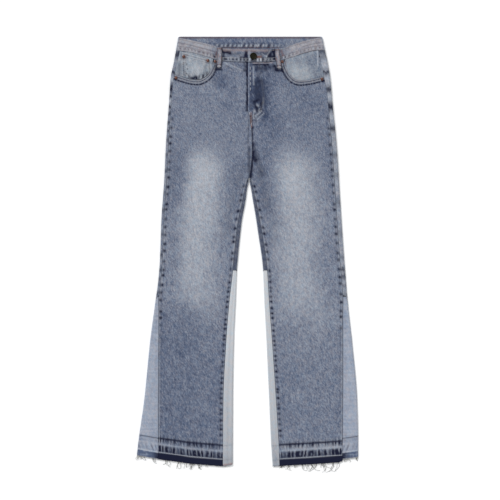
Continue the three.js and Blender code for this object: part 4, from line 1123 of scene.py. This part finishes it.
def back_yoke(side):
    share = np.linspace(0, 1, 26)[:, None]
    parts = across(64, 0.55)
    down = mix(BACK_BAND, YOKE_SIDE, share) + 0 * parts
    for _ in range(8):
        first = arc_of(side, down, back_outer_turn(side, down))
        last = arc_of(side, down, 2 + 0 * down)
        turn = turn_of(side, down, mix(first, last, parts))
        down = mix(yoke_top(side, turn), yoke_foot(turn), share)
    out, _ = ring_point(side, down, turn)
    ring_shell(side, f"cloth_yoke_{side}", [f"back_yoke_{side}"], materials["denim"],
               (turn, out, down), back_marks, strip_relief)


def outer_gusset(side):
    late = 1.2  # how much later than the back's edge the gusset's seam begins

    def gathers(side, turn, down):
        """Height above the hem, and the gathers in the middle of the hem."""
        out, _ = ring_point(side, down, turn)
        above = hem_at(side, out) - down
        return above, beads(out + 0.35 * down, 11, 37) * bump(27, 9, above)

    def start(side, down):
        _, radius, _, _ = section(side, down)
        return -(strip_of(side, "outseam", down) - radius - SEAM_GAP / 2) / FRONT_UNIT

    def end(side, down):
        return shift_turn(side, down, back_outer_turn(side, down - late), -SEAM_GAP / 2)

    def marks(side, turn, down, arc):
        seam = arc - arc_of(side, down, start(side, down))
        above, rows = gathers(side, turn, down)
        fade = 0.35 + 0.08 * ripple(arc, down, 26, 38) + 0.12 * ripple(0.15 * arc, down, 9, 39)
        low = 1 - ease(13.6, 15, above)
        ink = 0.3 * bump(0, 1.5, seam) + (0.05 + 0.75 * bump(0, 15, seam)) * low
        ink += 0.75 * bump(51.5, 1.5, above) + 0.45 * np.clip(-rows, 0, 1) + 0.08 * (above < 50)
        ink += 0.25 * np.clip(beads(down, 15, 52), 0, 1) * bump(6, 3, seam)
        fade -= 0.62 * low + 0.15 * (above < 50)
        chalk = 0.6 * bump(16, 1.4, above) + 0.3 * np.clip(rows, 0, 1) + 0.22 * bump(37, 2, above)
        return bounded({"fade": fade, "ink": ink, "chalk": chalk})

    def relief(side, turn, down, arc):
        seam = arc - arc_of(side, down, start(side, down))
        edge = ease(0, 5, seam) * ease(0, 4, -arc)
        _, rows = gathers(side, turn, down)
        return (0.22 * ripple(0.1 * arc, down, 10, 39) + 0.4 * rows) * edge - 0.4 * bump(0, EDGE_ROUND, seam)

    grid = ring_grid(side, leg_rows(OUTER_APEX + 4 + late, 3), across(40, 0.4), start, end)
    ring_shell(side, f"cloth_outer_gusset_{side}", [f"outer_gusset_{side}"],
               materials["light"], grid, marks, relief)


def inner_gusset(side):
    late = 0.8  # how much later than the back's edge the gusset's seam begins

    def start(side, down):
        return shift_turn(side, down, back_inner_turn(side, down - late), SEAM_GAP / 2)

    def end(side, down):
        _, radius, _, _ = section(side, down)
        return 3 + (strip_of(side, "inseam", down) - radius - SEAM_GAP / 2) / FRONT_UNIT

    def marks(side, turn, down, arc):
        out = ring_point(side, down, turn)[0]
        above = hem_at(side, out) - down
        seam = arc_of(side, down, end(side, down)) - arc
        fade = 1.1 + 0.12 * ripple(0.8 * arc, 0.05 * down, 12, 41) - 0.95 * ease(600, 1020, down)
        shade = bump(0.5, 5, seam - 0.35 * strip_of(side, "inseam", down))
        fade -= 0.2 * shade
        ink = 0.2 * bump(50, 1.4, above) + 0.14 * bump(14, 1.5, above) + 0.1 * ease(900, 1080, down)
        ink += 0.2 * bump(INNER_TOP, 3, down) + 0.1 * (1 - ease(10, 40, above))
        rust = 0.7 * bump(0.5, 3, above) * (side == "right")
        return bounded({"fade": fade, "ink": ink, "rust": rust})

    def relief(side, turn, down, arc):
        seam = arc_of(side, down, end(side, down)) - arc
        strip = strip_of(side, "inseam", down)
        fold = 0.35 * bump(0.38 * strip, 2.2, seam) - 0.3 * bump(0.62 * strip, 2.2, seam)
        return fold * ease(0, 3, seam) - 0.4 * bump(0, EDGE_ROUND, seam)

    rows = leg_rows(INNER_TOP + 1.2 + late, 3, [(593, 602, 0.6)])
    grid = ring_grid(side, rows, across(36, 0.4), start, end)
    ring_shell(side, f"cloth_inner_gusset_{side}", [f"inner_gusset_{side}"],
               materials["canvas"], grid, marks, relief)


# Pockets
FACING = {"dip_start": -24, "dip_end": -2, "behind": 9, "inward": 2}


def facing_top(side, out, down):
    """The facing dips under the front near the pocket mouth."""
    dip = ease(FACING["dip_start"], FACING["dip_end"], down - mouth_at(side, out))
    return over_at(down) - (WALL + SEAM_GAP) * dip


def facing_marks(side, out, down):
    fade = 0.42 + 0.07 * ripple(out, down, 30, 81) + 0.3 * bump(130, 38, out) * bump(88, 26, down)
    # Painted shadow of the front's folded mouth edge, along the mouth.
    ink = 0.35 * bump(0, 2.5, down - mouth_at(side, out))
    ink = ink + 0.06 * np.clip(ripple(out, down, 14, 82), 0, 1)
    return paint(f"facing_{side}", out, down, {"fade": fade, "ink": ink})


def pocket_facing(side):
    innermost = SIDES[side]["mouth"]["out"][0] + FACING["inward"]
    share = across(44, 0.3).T
    parts = across(60, 0.3)
    down = 70 + 0 * share * parts
    for _ in range(10):
        out = mix(front_outer(side, down), innermost, parts)
        top = band_edge(side, out, "bottom") + BAND_GAP
        down = mix(top, mouth_at(side, out) + FACING["behind"], share)
    base = facing_top(side, out, down)
    wrinkles = 0.12 * ripple(out, down, 26, 83) * ease(0, 8, down - band_edge(side, out, "bottom"))
    outer = place(side, out, down, base + wrinkles * ease(2, 10, mouth_at(side, out) - down))
    inner = place(side, out, down, base - WALL)
    cloth(f"cloth_facing_{side}", [f"pocket_facing_{side}"], materials["facing"],
          outer, inner, facing_marks(side, out, down))


COIN = {"outer": 173, "inner": 104, "outer_top": 38.8, "inner_top": 57.6, "clear": 2.6}


def coin_height(out, down, top):
    base = facing_top("right", out, down) + SEAM_GAP + WALL
    below = down - top
    hem = 0.35 * bump(2, 2, below) + 0.3 * bump(8, 2.2, below) - 0.2 * bump(5, 1, below)
    return base + hem + 0.1 * ripple(out, down, 14, 84)


def coin_top(out):
    part = (out - COIN["outer"]) / (COIN["inner"] - COIN["outer"])
    return mix(COIN["outer_top"], COIN["inner_top"], part)


def coin_pocket():
    share = across(40, 0.3).T
    parts = across(52, 0.3)
    out = mix(COIN["outer"], COIN["inner"], parts) + 0 * share
    top = coin_top(out)
    down = mix(top, mouth_at("right", out) - COIN["clear"], share)
    outer = place("right", out, down, coin_height(out, down, top))
    inner = place("right", out, down, facing_top("right", out, down) + SEAM_GAP)
    below = down - top
    knots = beads(out, 6, 85)
    fade = 0.62 + 0.12 * ripple(out, down * 0.3, 12, 86)
    foot = mouth_at("right", out) - down
    ragged = np.clip(beads(out, 9, 87), 0, 1) * bump(5, 6, foot)
    ink = 0.5 * ragged + 0.4 * bump(5, 1, below) + 0.3 * bump(10.6, 1, below) * (0.6 + 0.4 * knots)
    chalk = 0.3 * (bump(2, 1.6, below) + bump(8, 1.6, below)) * (0.8 + 0.3 * knots)
    chalk += 0.2 * np.clip(-beads(out, 11, 88), 0, 1) * bump(22, 14, below)
    marks = paint("coin", out, down, {"fade": fade, "ink": ink, "chalk": chalk})
    cloth("cloth_coin_pocket", ["coin_pocket_right"], materials["facing"],
          outer, inner, marks)


BACK_POCKET = {"out": 98, "down": 122, "width": 150, "foot": 128, "side": 138, "point": 160}


def pocket_half(length):
    """Half width of a back pocket at a length below its mouth."""
    pocket = BACK_POCKET
    return np.interp(length, [0, pocket["side"], pocket["point"]],
                     [pocket["width"] / 2, pocket["foot"] / 2, 0.4])


def back_pocket(side):
    pocket = BACK_POCKET
    parts = across(40, 0.3) * 2 - 1
    below = np.linspace(0, pocket["point"], 60)[:, None]
    half = pocket_half(below)
    out = pocket["out"] + parts * half
    down = pocket["down"] + below + 0 * parts
    edge = np.minimum(half * (1 - np.abs(parts)), pocket["point"] - below)
    seam = bump(3, 1.3, edge) + bump(9, 1.3, edge)
    low = 0.12 + 0.1 * bump(0, EDGE_ROUND, edge) + 0.08 * seam
    fade = 0.35 + 0.25 * bump(0, 0.6, parts) + 0.05 * ripple(out, down, 20, 91)
    ink = 0.4 * bump(6, 1.2, edge) + 0.5 * np.clip(beads(down + out, 8, 92), 0, 1) * bump(1, 2.5, edge)
    ink += 0.5 * bump(22, 1.2, below) + 0.3 * bump(0, 2, below)
    marks = {"fade": np.clip(fade, 0, 1), "ink": np.clip(ink, 0, 1), "chalk": 0.5 * bump(3, 1.5, edge)}
    cloth(f"cloth_back_pocket_{side}", [f"back_pocket_{side}"], materials["denim"],
          place(side, out, down, PATCH_TOP), place(side, out, down, low), marks)
    corners = [(-1, 0), (-1, pocket["side"]), (0, pocket["point"]), (1, pocket["side"]), (1, 0)]
    for inset in (3, 9):
        sew_below(side, [(pocket["out"] + part * (pocket_half(length) - inset),
                          pocket["down"] + max(length - inset * (length > 0), 0))
                         for part, length in corners])
    reach = pocket["width"] / 2 - 2
    for length in (20, 26):
        sew_below(side, [(pocket["out"] + part * reach, pocket["down"] + length) for part in (-1, 1)])


def sew_below(side, line):
    """Stitches on the underside, half sunk so that they stay above the floor."""
    dense = dense_line(line)
    sew("tan", place(side, dense[:, 0], dense[:, 1], 0.3 + 0 * dense[:, 0]), 3.2, 1, 0.5)


def dense_line(line, step=1.0):
    line = np.array(line, float)
    travelled = np.concatenate([[0], np.cumsum(np.hypot(*np.diff(line, axis=0).T))])
    at = np.linspace(0, travelled[-1], max(int(travelled[-1] / step), 2))
    return np.stack([np.interp(at, travelled, line[:, axis]) for axis in range(2)], -1)


# Waistband
def band_point(side, kind, part, share, depth=0.0):
    """Out, down and height of points of the waistband, depth millimetres inside its outer face."""
    radius = (BAND_TOP - BACK_LIFT) / 2
    middle = BACK_LIFT + radius
    start = BAND_START[side]
    back_down = BACK_BAND * share
    down = back_down + 0 * part
    for _ in range(6):
        bend = edge_of(side, "outseam", down) - radius
        out = mix(start, bend, part)
        if kind == "back":
            break
        at = out if kind == "front" else bend
        front_down = mix(band_edge(side, at, "top"), band_edge(side, at, "bottom"), share)
        down = front_down if kind == "front" else mix(front_down, back_down, part)
    distance = radius - depth
    if kind == "fold":
        return bend + np.sin(np.pi * part) * distance, down, middle + np.cos(np.pi * part) * distance
    if kind == "back":
        return mix(0, bend, part), down, middle - distance + 0 * out
    lapped = 1 - ease(LAP - 2, 62, out) if side == "left" else 0 * out
    return out, down, middle + distance + lapped * (BAND_WALL + SEAM_GAP)


BAND_SEED = {"left": 95, "right": 96}
BAND_PITCH = 9.5  # from one knot of the waistband's lower seam to the next


def band_knots(side, out):
    return dots(out, BAND_PITCH, 2.7, BAND_SEED[side])


def band_relief(side, out, share):
    """Topstitch channels and puckers of the waistband's front."""
    low = (2 * band_knots(side, out) - 1) * bump(0.82, 0.11, share)
    high = beads(out, BAND_PITCH, BAND_SEED[side] + 2) * bump(0.14, 0.09, share)
    channel = -0.3 * bump(0.68, 0.035, share) - 0.25 * bump(0.1, 0.03, share)
    wrinkle = 0.25 * ripple(0.7 * out, 30 * share + 0.5 * out, 20, 97)
    fades = ease(0, 0.08, share) * ease(0, 0.08, 1 - share)
    return (0.4 * low + 0.22 * high + channel + wrinkle) * fades


def band_marks(side, kind, out, share):
    down = BACK_BAND * share
    fade = 0.4 + 0.12 * ripple(out, down, 16, 98)
    if kind != "front":
        return bounded({"fade": fade})
    worn = ease(80, 110, out)
    fade = mix(fade - 0.1, fade + 0.44, worn)
    knots = band_knots(side, out)
    row = bump(27, 3.6, down)
    ink = mix(1.0, 0.5, worn) * row * (1 - knots) + 0.12 * (1 - worn)
    chalk = mix(0.55, 0.4, worn) * row * knots
    ink += 0.4 * bump(22.5, 1.1, down) + 0.25 * bump(4.5, 1, down)
    ink += 0.12 * np.clip(ripple(out, down, 9, BAND_SEED[side] + 5), 0, 1.5) * (1 - 0.5 * worn)
    marks = {"fade": fade, "ink": ink, "chalk": chalk, "rust": 0.2 * worn}
    return paint(f"band_{side}", out, down, marks)


def inside_ovals(x, down):
    """The light ovals of the seam along the inside of the waistband."""
    return dots(x + 200 + 0.35 * (down - 22), 10.6, 2.5, 102)


def band_inside_marks(side, kind, out, share):
    """The inside of the back waistband shows above the front."""
    down = BACK_BAND * share
    fade = 0.3 + 0.1 * ripple(out, down, 18, 101)
    if kind != "back":
        return bounded({"fade": fade, "ink": 0.1 + 0 * fade})
    x = SIDES[side]["sign"] * out
    centre = np.exp(-(np.abs(x + 8) / 92) ** 6)
    fade -= 0.24 * centre
    ovals = inside_ovals(x, down)
    row = bump(22.5, 3.4, down) * centre
    marks_above = bump(16.5, 1.6, down) * dots(x + 205, 10.6, 3, 102)
    marks_below = bump(27.5, 1.8, down) * (0.7 + 0.3 * beads(x, 14, 103))
    ink = 0.9 * row * (1 - ovals) + (0.8 * marks_above + 1.1 * marks_below) * centre
    ink += 0.8 * bump(2.6, 1.7, down) * (1 - 0.5 * bump(0, 60, x))
    rust = 0.3 * bump(2.6, 2, down) + 0.25 * marks_below * centre
    return bounded({"fade": fade, "ink": ink, "chalk": 0.95 * row * ovals, "rust": rust})


def waistband():
    front_parts = np.linspace(0, 1, 110)
    fold_parts = np.linspace(0, 1, 10)[1:-1]
    back_parts = np.linspace(1, 0, 60)
    share = across(26, 0.3).T
    pieces = [("left", "front", front_parts), ("left", "fold", fold_parts), ("left", "back", back_parts),
              ("right", "back", back_parts[::-1][1:]), ("right", "fold", fold_parts[::-1]),
              ("right", "front", front_parts[::-1])]
    outer, inner, marks, inner_marks = [], [], [], []
    for side, kind, parts in pieces:
        part = parts[None, :] + 0 * share
        wide = share + 0 * part
        out, down, high = band_point(side, kind, part, wide)
        if kind == "front":
            high = high + band_relief(side, out, wide)
        outer.append(place(side, out, down, high))
        marks.append(band_marks(side, kind, out, wide))
        out, down, high = band_point(side, kind, part, wide, BAND_WALL)
        if kind == "back":
            ovals = inside_ovals(SIDES[side]["sign"] * out, down) - 0.5
            high = high + 0.6 * ovals * bump(22.5, 4, down) - 0.25 * bump(16.5, 1.2, down)
        inner.append(place(side, out, down, high))
        inner_marks.append(band_inside_marks(side, kind, out, wide))

    def joined(parts):
        return {key: np.concatenate([part.get(key, 0 * part["fade"]) for part in parts], 1)
                for key in MARKS}

    cloth("cloth_waistband", ["waistband"], materials["band"], np.concatenate(outer, 1),
          np.concatenate(inner, 1), joined(marks),
          joined(inner_marks))


def band_surface(side, out, share):
    """A point of the waistband's front face at a place across and down it."""
    radius = (BAND_TOP - BACK_LIFT) / 2
    start = BAND_START[side]
    down = 40 + 0 * out
    for _ in range(5):
        bend = edge_of(side, "outseam", down) - radius
        part = (out - start) / (bend - start)
        down = mix(band_edge(side, out, "top"), band_edge(side, out, "bottom"), share)
    _, down, high = band_point(side, "front", part, share + 0 * out)
    return place(side, out, down, high + band_relief(side, out, share + 0 * out))


# Belt loops
LOOP = {"width": 12, "wall": 2, "length": 50}
FRONT_LOOPS = {
    "right": {"out": 76.3, "down": 28.4, "to_out": 78.4, "to_down": 80},
    "left": {"out": 67.4, "down": 31.6, "to_out": 74.6, "to_down": 82.5},
}
BACK_LOOPS = {"left": 112, "centre": 0, "right": -112}
LOOP_PROFILE = table(
    "share under", (0, 8.1), (0.15, 8.8), (0.4, 9.3), (0.66, 8.8), (0.84, 7.9), (1, 7.5))


def loop_marks(share, beside):
    fade = 0.3 + 0.1 * ripple(12 * beside, 48 * share, 9, 111)
    # The ink here is painted shadow: at one side of the top end, round the bartack at the foot, and along
    # the rolled long edges.
    ink = 0.6 * bump(0.04, 0.1, share) * (1 - ease(-0.2, 0.6, beside))
    ink += 1.1 * bump(0.99, 0.035, share) + 0.8 * bump(0.84, 0.03, share)
    ink += 0.8 * bump(-1, 0.3, beside) + 0.7 * bump(1, 0.26, beside)
    rust = 0.35 * ripple(9 * beside, 40 * share, 10, 114)
    chalk = 0.7 * bump(0.92, 0.03, share) * (np.abs(beside) < 0.7) + 0.2 * bump(0.1, 0.5, beside)
    return bounded({"fade": fade, "ink": ink, "rust": rust, "chalk": chalk})


def front_loop(side):
    loop = FRONT_LOOPS[side]
    share = across(60, 0.4).T
    beside = across(17, 0.5) * 2 - 1
    out = mix(loop["out"], loop["to_out"], share) + beside * LOOP["width"] / 2
    down = mix(loop["down"], loop["to_down"], share) + 0 * beside
    under = read(LOOP_PROFILE, "share", "under", share) + 0 * beside
    rolled = 0.35 * bump(0.72, 0.2, np.abs(beside)) - 0.7 * bump(1, 0.12, np.abs(beside))
    ends = -0.5 * bump(0, 0.01, share) - 0.5 * bump(1, 0.01, share)
    relief = rolled + ends + 0.05 * ripple(out, down, 8, 112)
    outer = place(side, out, down, under + LOOP["wall"] + relief)
    inner = place(side, out, down, under)
    cloth(f"cloth_loop_front_{side}", [f"belt_loop_front_{side}"], materials["loop"], outer,
          inner, loop_marks(share, beside))


def back_loop(name, x):
    share = np.linspace(0, 1, 40)[:, None]
    beside = across(13, 0.5) * 2 - 1
    out = x + beside * LOOP["width"] / 2 + 0 * share
    down = 2 + LOOP["length"] * share + 0 * beside
    low = 0.1 + 0.35 * bump(0, 0.14, 1 - np.abs(beside))
    cloth(f"cloth_loop_back_{name}", [f"belt_loop_back_{name}"], materials["loop"],
          place("left", out, down, PATCH_TOP), place("left", out, down, low),
          loop_marks(share, beside))


# Raw hem threads
FRINGE = {"strip": 1.8, "level": 1066, "inset": 1.5, "wall": 0.7}
CLUMPS = {
    "right": table(
        "out to_out reach count",
        (268, 287, 16, 6), (239, 249, 14, 3), (207, 217, 21, 3), (168, 181, 20, 3), (138, 160, 18, 5),
        (119, 131, 14, 3), (104, 110, 8, 2), (50, 68, 4, 7)),
    "left": table(
        "out to_out reach count",
        (78, 85, 8, 6), (97, 107, 20, 2), (112, 122, 12, 3), (127, 135, 16, 2), (142, 148, 16, 2),
        (152, 158, 19, 2), (163, 169, 22, 2), (175, 194, 24, 5), (206, 227, 24, 4), (236, 251, 12, 4),
        (271, 275, 12, 3)),
}


def fringe(side, layer):
    random = np.random.default_rng({"left": 1, "right": 3}[side] + (layer == "back"))
    level = FRINGE["level"]
    first = edge_of(side, "inseam", level) + FRINGE["inset"]
    last = edge_of(side, "outseam", level) - FRINGE["inset"]
    high = over_at(level) - 0.1 if layer == "front" else WALL
    out = np.linspace(first, last, 150)[None, :]
    strip = np.linspace(0, 1, 4)[:, None]
    ragged = 0.5 + 0.5 * ripple(out, 0 * out, 5, 121)
    down = hem_at(side, out) + SEAM_GAP + strip * FRINGE["strip"] * (0.6 + 0.4 * ragged)
    points = place(side, out + 0 * strip, down, high + 0 * down)
    behind = points.copy()
    behind[..., 2] -= FRINGE["wall"]
    dyed = ease(-2, 1, out - front_inner(side, level))
    dyed = dyed * (1 - ease(-1, 2, out - front_outer(side, level)))
    marks = {"fade": 0.9 - 1.1 * dyed, "ink": 0.25 + dyed}
    tuft = shell(f"fringe_{layer}_{side}", points, behind, marks)
    roots = []
    for start, end, reach, count in zip(*CLUMPS[side].values()):
        count = int(count if layer == "front" else count / 2)
        for _ in range(count):
            roots.append((random.uniform(start, end), reach * random.uniform(0.5, 1.0)))
    for spread in np.linspace(first + 2, last - 2, 26):
        roots.append((spread + random.uniform(-4, 4), random.uniform(1.5, 3)))
    paths = []
    for root, reach in roots:
        root = float(np.clip(root, first + 1, last - 1))
        part = np.linspace(0, 1, 12)
        curl = random.uniform(0.15, 0.5) * reach
        lean = random.uniform(-0.7, 0.7) * reach
        phase = random.uniform(0, 2 * np.pi)
        sway = curl * np.sin(phase + part * random.uniform(2, 6)) * part + lean * part ** 1.4
        fall = high - 0.35 - (high - 1.2) * part * (0.6 if layer == "front" else 0.1)
        length = reach * (part - 0.16 * np.sin(phase + 5 * part) * part)
        rise = np.maximum(fall + 0.4 * np.sin(phase + 7 * part), 0.5)
        paths.append(place(side, root + sway, hem_at(side, root) + SEAM_GAP + 0.6 + length, rise))
    paths = np.array(paths)
    radii = (0.5 - 0.16 * np.linspace(0, 1, 12))[None, :] * random.uniform(0.7, 1.1, (len(paths), 1))
    points, faces = swept(paths, radii, 4)
    threads = mesh_object(f"frayed_threads_{layer}_{side}", points, faces)
    link(tuft, [f"fringe_{layer}_{side}"], materials["denim"])
    link(threads, (), THREADS["frayed"])


# Metal pieces, turned from a profile of radius and height that starts and ends on the axis
def metal(name, colour, dark, roughness):
    shader = Shader(name, Roughness=roughness, Metallic=1.0)
    worn = shader.noise((500, 500, 500), 4, 0.7)
    part = shader.math("MULTIPLY_ADD", worn, 2.2, -0.6, clamp=True)
    shader.colour(shader.blend(part, dark, colour))
    uneven = shader.math("MULTIPLY_ADD", worn, 0.4, roughness - 0.2)
    shader.put(shader.surface.inputs["Roughness"], uneven)
    shader.relief(worn, 0.0002, 0.5)
    return shader.material


def turned(name, replaced, slot, material, profile, x, down, seat, steps=48):
    radius, height = np.array(profile, float).T
    angle = 2 * np.pi * np.arange(steps) / steps
    rings = len(radius) - 2
    ring_x = radius[1:-1, None] * np.cos(angle)
    ring_y = radius[1:-1, None] * np.sin(angle)
    ring_z = np.broadcast_to(height[1:-1, None], ring_x.shape)
    points = np.stack([ring_x, ring_y, ring_z], -1).reshape(-1, 3)
    points = np.concatenate([points, [[0, 0, height[0]], [0, 0, height[-1]]]])
    points = points + [x + ORIGIN_X, ORIGIN_Y - down, seat]
    number = np.arange(rings * steps).reshape(rings, steps)
    following = np.roll(number, -1, axis=1)
    quads = np.stack([number[:-1], following[:-1], following[1:], number[1:]], -1).reshape(-1, 4).tolist()
    low, high = rings * steps, rings * steps + 1
    quads += [[low, b, a] for a, b in zip(number[0], following[0])]
    quads += [[high, a, b] for a, b in zip(number[-1], following[-1])]
    obj = mesh_object(name, points, [[int(corner) for corner in face] for face in quads], 40)
    return link(obj, replaced, material)


RIVETS = {
    "rivet_coin_outer": (-167.6, 51, 9.15), "rivet_coin_inner": (-106.5, 61.5, 9.15),
    "rivet_mouth_outer_right": (-187.2, 105.2, 7.2), "rivet_mouth_inner_right": (-88.2, 63.4, 7.2),
    "rivet_mouth_outer_left": (182.6, 108, 7.2), "rivet_mouth_inner_left": (82.4, 64, 7.2),
}
RIVET_PROFILE = [(0, 0), (3.7, 0), (3.8, 0.25), (3.7, 0.6), (3.2, 0.85), (2.6, 0.95), (2.3, 1.25),
                 (1.6, 1.5), (0.7, 1.6), (0, 1.58)]


def fasteners():
    copper = metal("copper", linear(142, 104, 94), linear(44, 36, 38), 0.55)
    dark = metal("dark_metal", linear(52, 50, 40), linear(18, 18, 14), 0.5)
    for name, (x, down, seat) in RIVETS.items():
        turned(f"{name}_cap", [name], "copper", copper, RIVET_PROFILE, x, down, seat + SEAM_GAP)
    radius, height = BUTTON["radius"], BUTTON["height"]
    profile = [(0, 0), (4.5, 0), (5.3, 1.6), (8.4, 1.9), (8.8, 2.4), (radius, 3), (8.6, 3.7),
               (8, 4.15), (7.2, height), (6.6, 3.9), (6.1, 3.45), (5, 3.4), (4.5, 3.55), (4, 3.4),
               (2, 3.5), (0, 3.7)]
    seat = BAND_TOP + BAND_WALL + 2 * SEAM_GAP
    turned("button_cap", ["button"], "dark_metal", dark, profile, BUTTON["x"], BUTTON["down"], seat)


# Rows of stitches that show
def front_line(side, line):
    dense = dense_line(line)
    out, down = dense[:, 0], dense[:, 1]
    return place(side, out, down, front_height(side, out, down))


def sew_front():
    for side in SIDES:
        for inward in (1.5, 6.4):
            sew("tan", front_line(side, mouth_line(side, inward)[2:-1]), 3, 0.8, 0.8)
        outs = np.linspace(front_inner(side, 1070) + 2, front_outer(side, 1070) - 2, 120)
        for above, thread in ((16.6, "white"), (52, "navy")):
            line = np.stack([outs, front_hem(side, outs) - above], -1)
            sew(thread, front_line(side, line), 3.4, 0.6, 0.9)
    fly = np.array(FLY_LINE)
    for line in (fly, fly[:-1] - [4.2, 1.4]):
        sew("navy", front_line("left", line[:6]), 3, 0.8, 0.7)
        sew("slate", front_line("left", line[5:]), 3, 0.8, 0.8)

    def beside_centre(beside, start, end, count):
        return [(centre_out("left", down) + beside, down) for down in np.linspace(start, end, count)]

    sew("white", front_line("left", beside_centre(5.6, 74, 140, 30)), 7, 5, 1.7)
    sew("white", front_line("left", beside_centre(2.6, 190, 228, 20)), 6, 4, 1.3)
    edge = beside_centre(2, FLY_END + 6, 340, 60)
    sew("brown", front_line("left", edge[:15]), 2.6, 0.8, 0.8)
    sew("navy", front_line("left", edge[15:]), 3, 1.2, 0.7)


def sew_band():
    for side, first in (("right", -4), ("left", 0)):
        outs = np.linspace(first, 181, 200)
        for share, thread in ((0.12, "tan"), (0.72, "white"), (0.93, "white")):
            sew(thread, band_surface(side, outs, share), 3, 0.8, 0.7)


def sew_coin_pocket():
    outs = np.linspace(COIN["outer"] - 2, COIN["inner"] + 2, 70)
    tops = coin_top(outs)
    for below in (2, 8):
        down = tops + below
        sew("white", place("right", outs, down, coin_height(outs, down, tops)), 3, 0.8, 0.7)
    for out in (COIN["outer"] - 4, COIN["outer"] - 9):
        top = coin_top(out)
        down = np.linspace(top + 8, mouth_at("right", out) - 6, 40)
        line = np.full(40, float(out))
        sew("navy", place("right", line, down, coin_height(line, down, top)), 3, 1.6, 0.7)


def bartack(thread, x, down, seat, wide, long, turn=0.0):
    """A short dense zigzag of thread."""
    count = max(int(long / 0.7), 2)
    part = np.linspace(-0.5, 0.5, count)
    zig = np.where(np.arange(count) % 2 == 0, -0.5, 0.5) * wide
    step = part * long
    px = x + zig * math.cos(turn) - step * math.sin(turn)
    py = down + zig * math.sin(turn) + step * math.cos(turn)
    points = np.stack([px + ORIGIN_X, ORIGIN_Y - py, np.full(count, float(seat))], -1)
    SEWN[thread].append((points[None], 0.36))


def tack_all():
    for side, loop in FRONT_LOOPS.items():
        sign = SIDES[side]["sign"]
        for share, thread in ((0.06, "brown"), (0.93, "tan")):
            x = sign * mix(loop["out"], loop["to_out"], share)
            down = mix(loop["down"], loop["to_down"], share)
            seat = read(LOOP_PROFILE, "share", "under", share) + LOOP["wall"] + 0.3
            bartack(thread, x, down, seat, 2.2, 10, math.pi / 2)
    fly_seat = over_at(200) + 2.2
    bartack("brown", 1.5, 206, fly_seat - 0.9, 3.4, 26)
    hole_seat = BAND_TOP + BAND_WALL + SEAM_GAP + 0.2
    for shift in (-1.5, 1.5):
        bartack("brown", 24, 51.8 + shift, hole_seat, 1.6, 14, math.pi / 2 - 0.12)


# Floor, light and camera
PHOTO_SIZE = 500
PHOTO_SCALE = 2.54
PHOTO_TOP = 37
CAMERA_HEIGHT = 3.2


def studio():
    scene = bpy.context.scene
    bpy.ops.mesh.primitive_plane_add(size=60, location=(0, 0, 0))
    floor = bpy.context.object
    floor.name = "floor"
    paper = Shader("floor_paper", Roughness=0.9)
    tone = paper.noise((3, 3, 3), 2, 0.5)
    paper.colour(paper.blend(tone, (0.93, 0.93, 0.93, 1), (0.95, 0.95, 0.95, 1)))
    floor.data.materials.append(paper.material)
    world = bpy.data.worlds.new("studio")
    world.use_nodes = True
    world.node_tree.nodes["Background"].inputs["Color"].default_value = (0.98, 0.99, 1.0, 1)
    world.node_tree.nodes["Background"].inputs["Strength"].default_value = 0.72
    scene.world = world
    sun = bpy.data.lights.new("key", "SUN")
    sun.energy = 2.15
    sun.angle = math.radians(24)
    key = bpy.data.objects.new("key", sun)
    key.rotation_euler = (math.radians(-38), math.radians(-34), 0)
    scene.collection.objects.link(key)
    camera_data = bpy.data.cameras.new("camera")
    camera_data.sensor_width = 36
    camera_data.lens = 36 * CAMERA_HEIGHT / (PHOTO_SIZE * PHOTO_SCALE * MM)
    camera = bpy.data.objects.new("camera", camera_data)
    centre_down = (PHOTO_SIZE / 2 - PHOTO_TOP) * PHOTO_SCALE
    camera.location = (ORIGIN_X * MM, (ORIGIN_Y - centre_down) * MM, CAMERA_HEIGHT)
    scene.collection.objects.link(camera)
    scene.camera = camera
    scene.view_settings.view_transform = "Standard"


studio()
for side in SIDES:
    front_panel(side)
    back_panel(side)
    back_yoke(side)
    outer_gusset(side)
    inner_gusset(side)
    pocket_facing(side)
    back_pocket(side)
    front_loop(side)
    for layer in ("front", "back"):
        fringe(side, layer)
coin_pocket()
waistband()
for name, x in BACK_LOOPS.items():
    back_loop(name, x)
fasteners()
sew_front()
sew_band()
sew_coin_pocket()
tack_all()
finish_sewing()
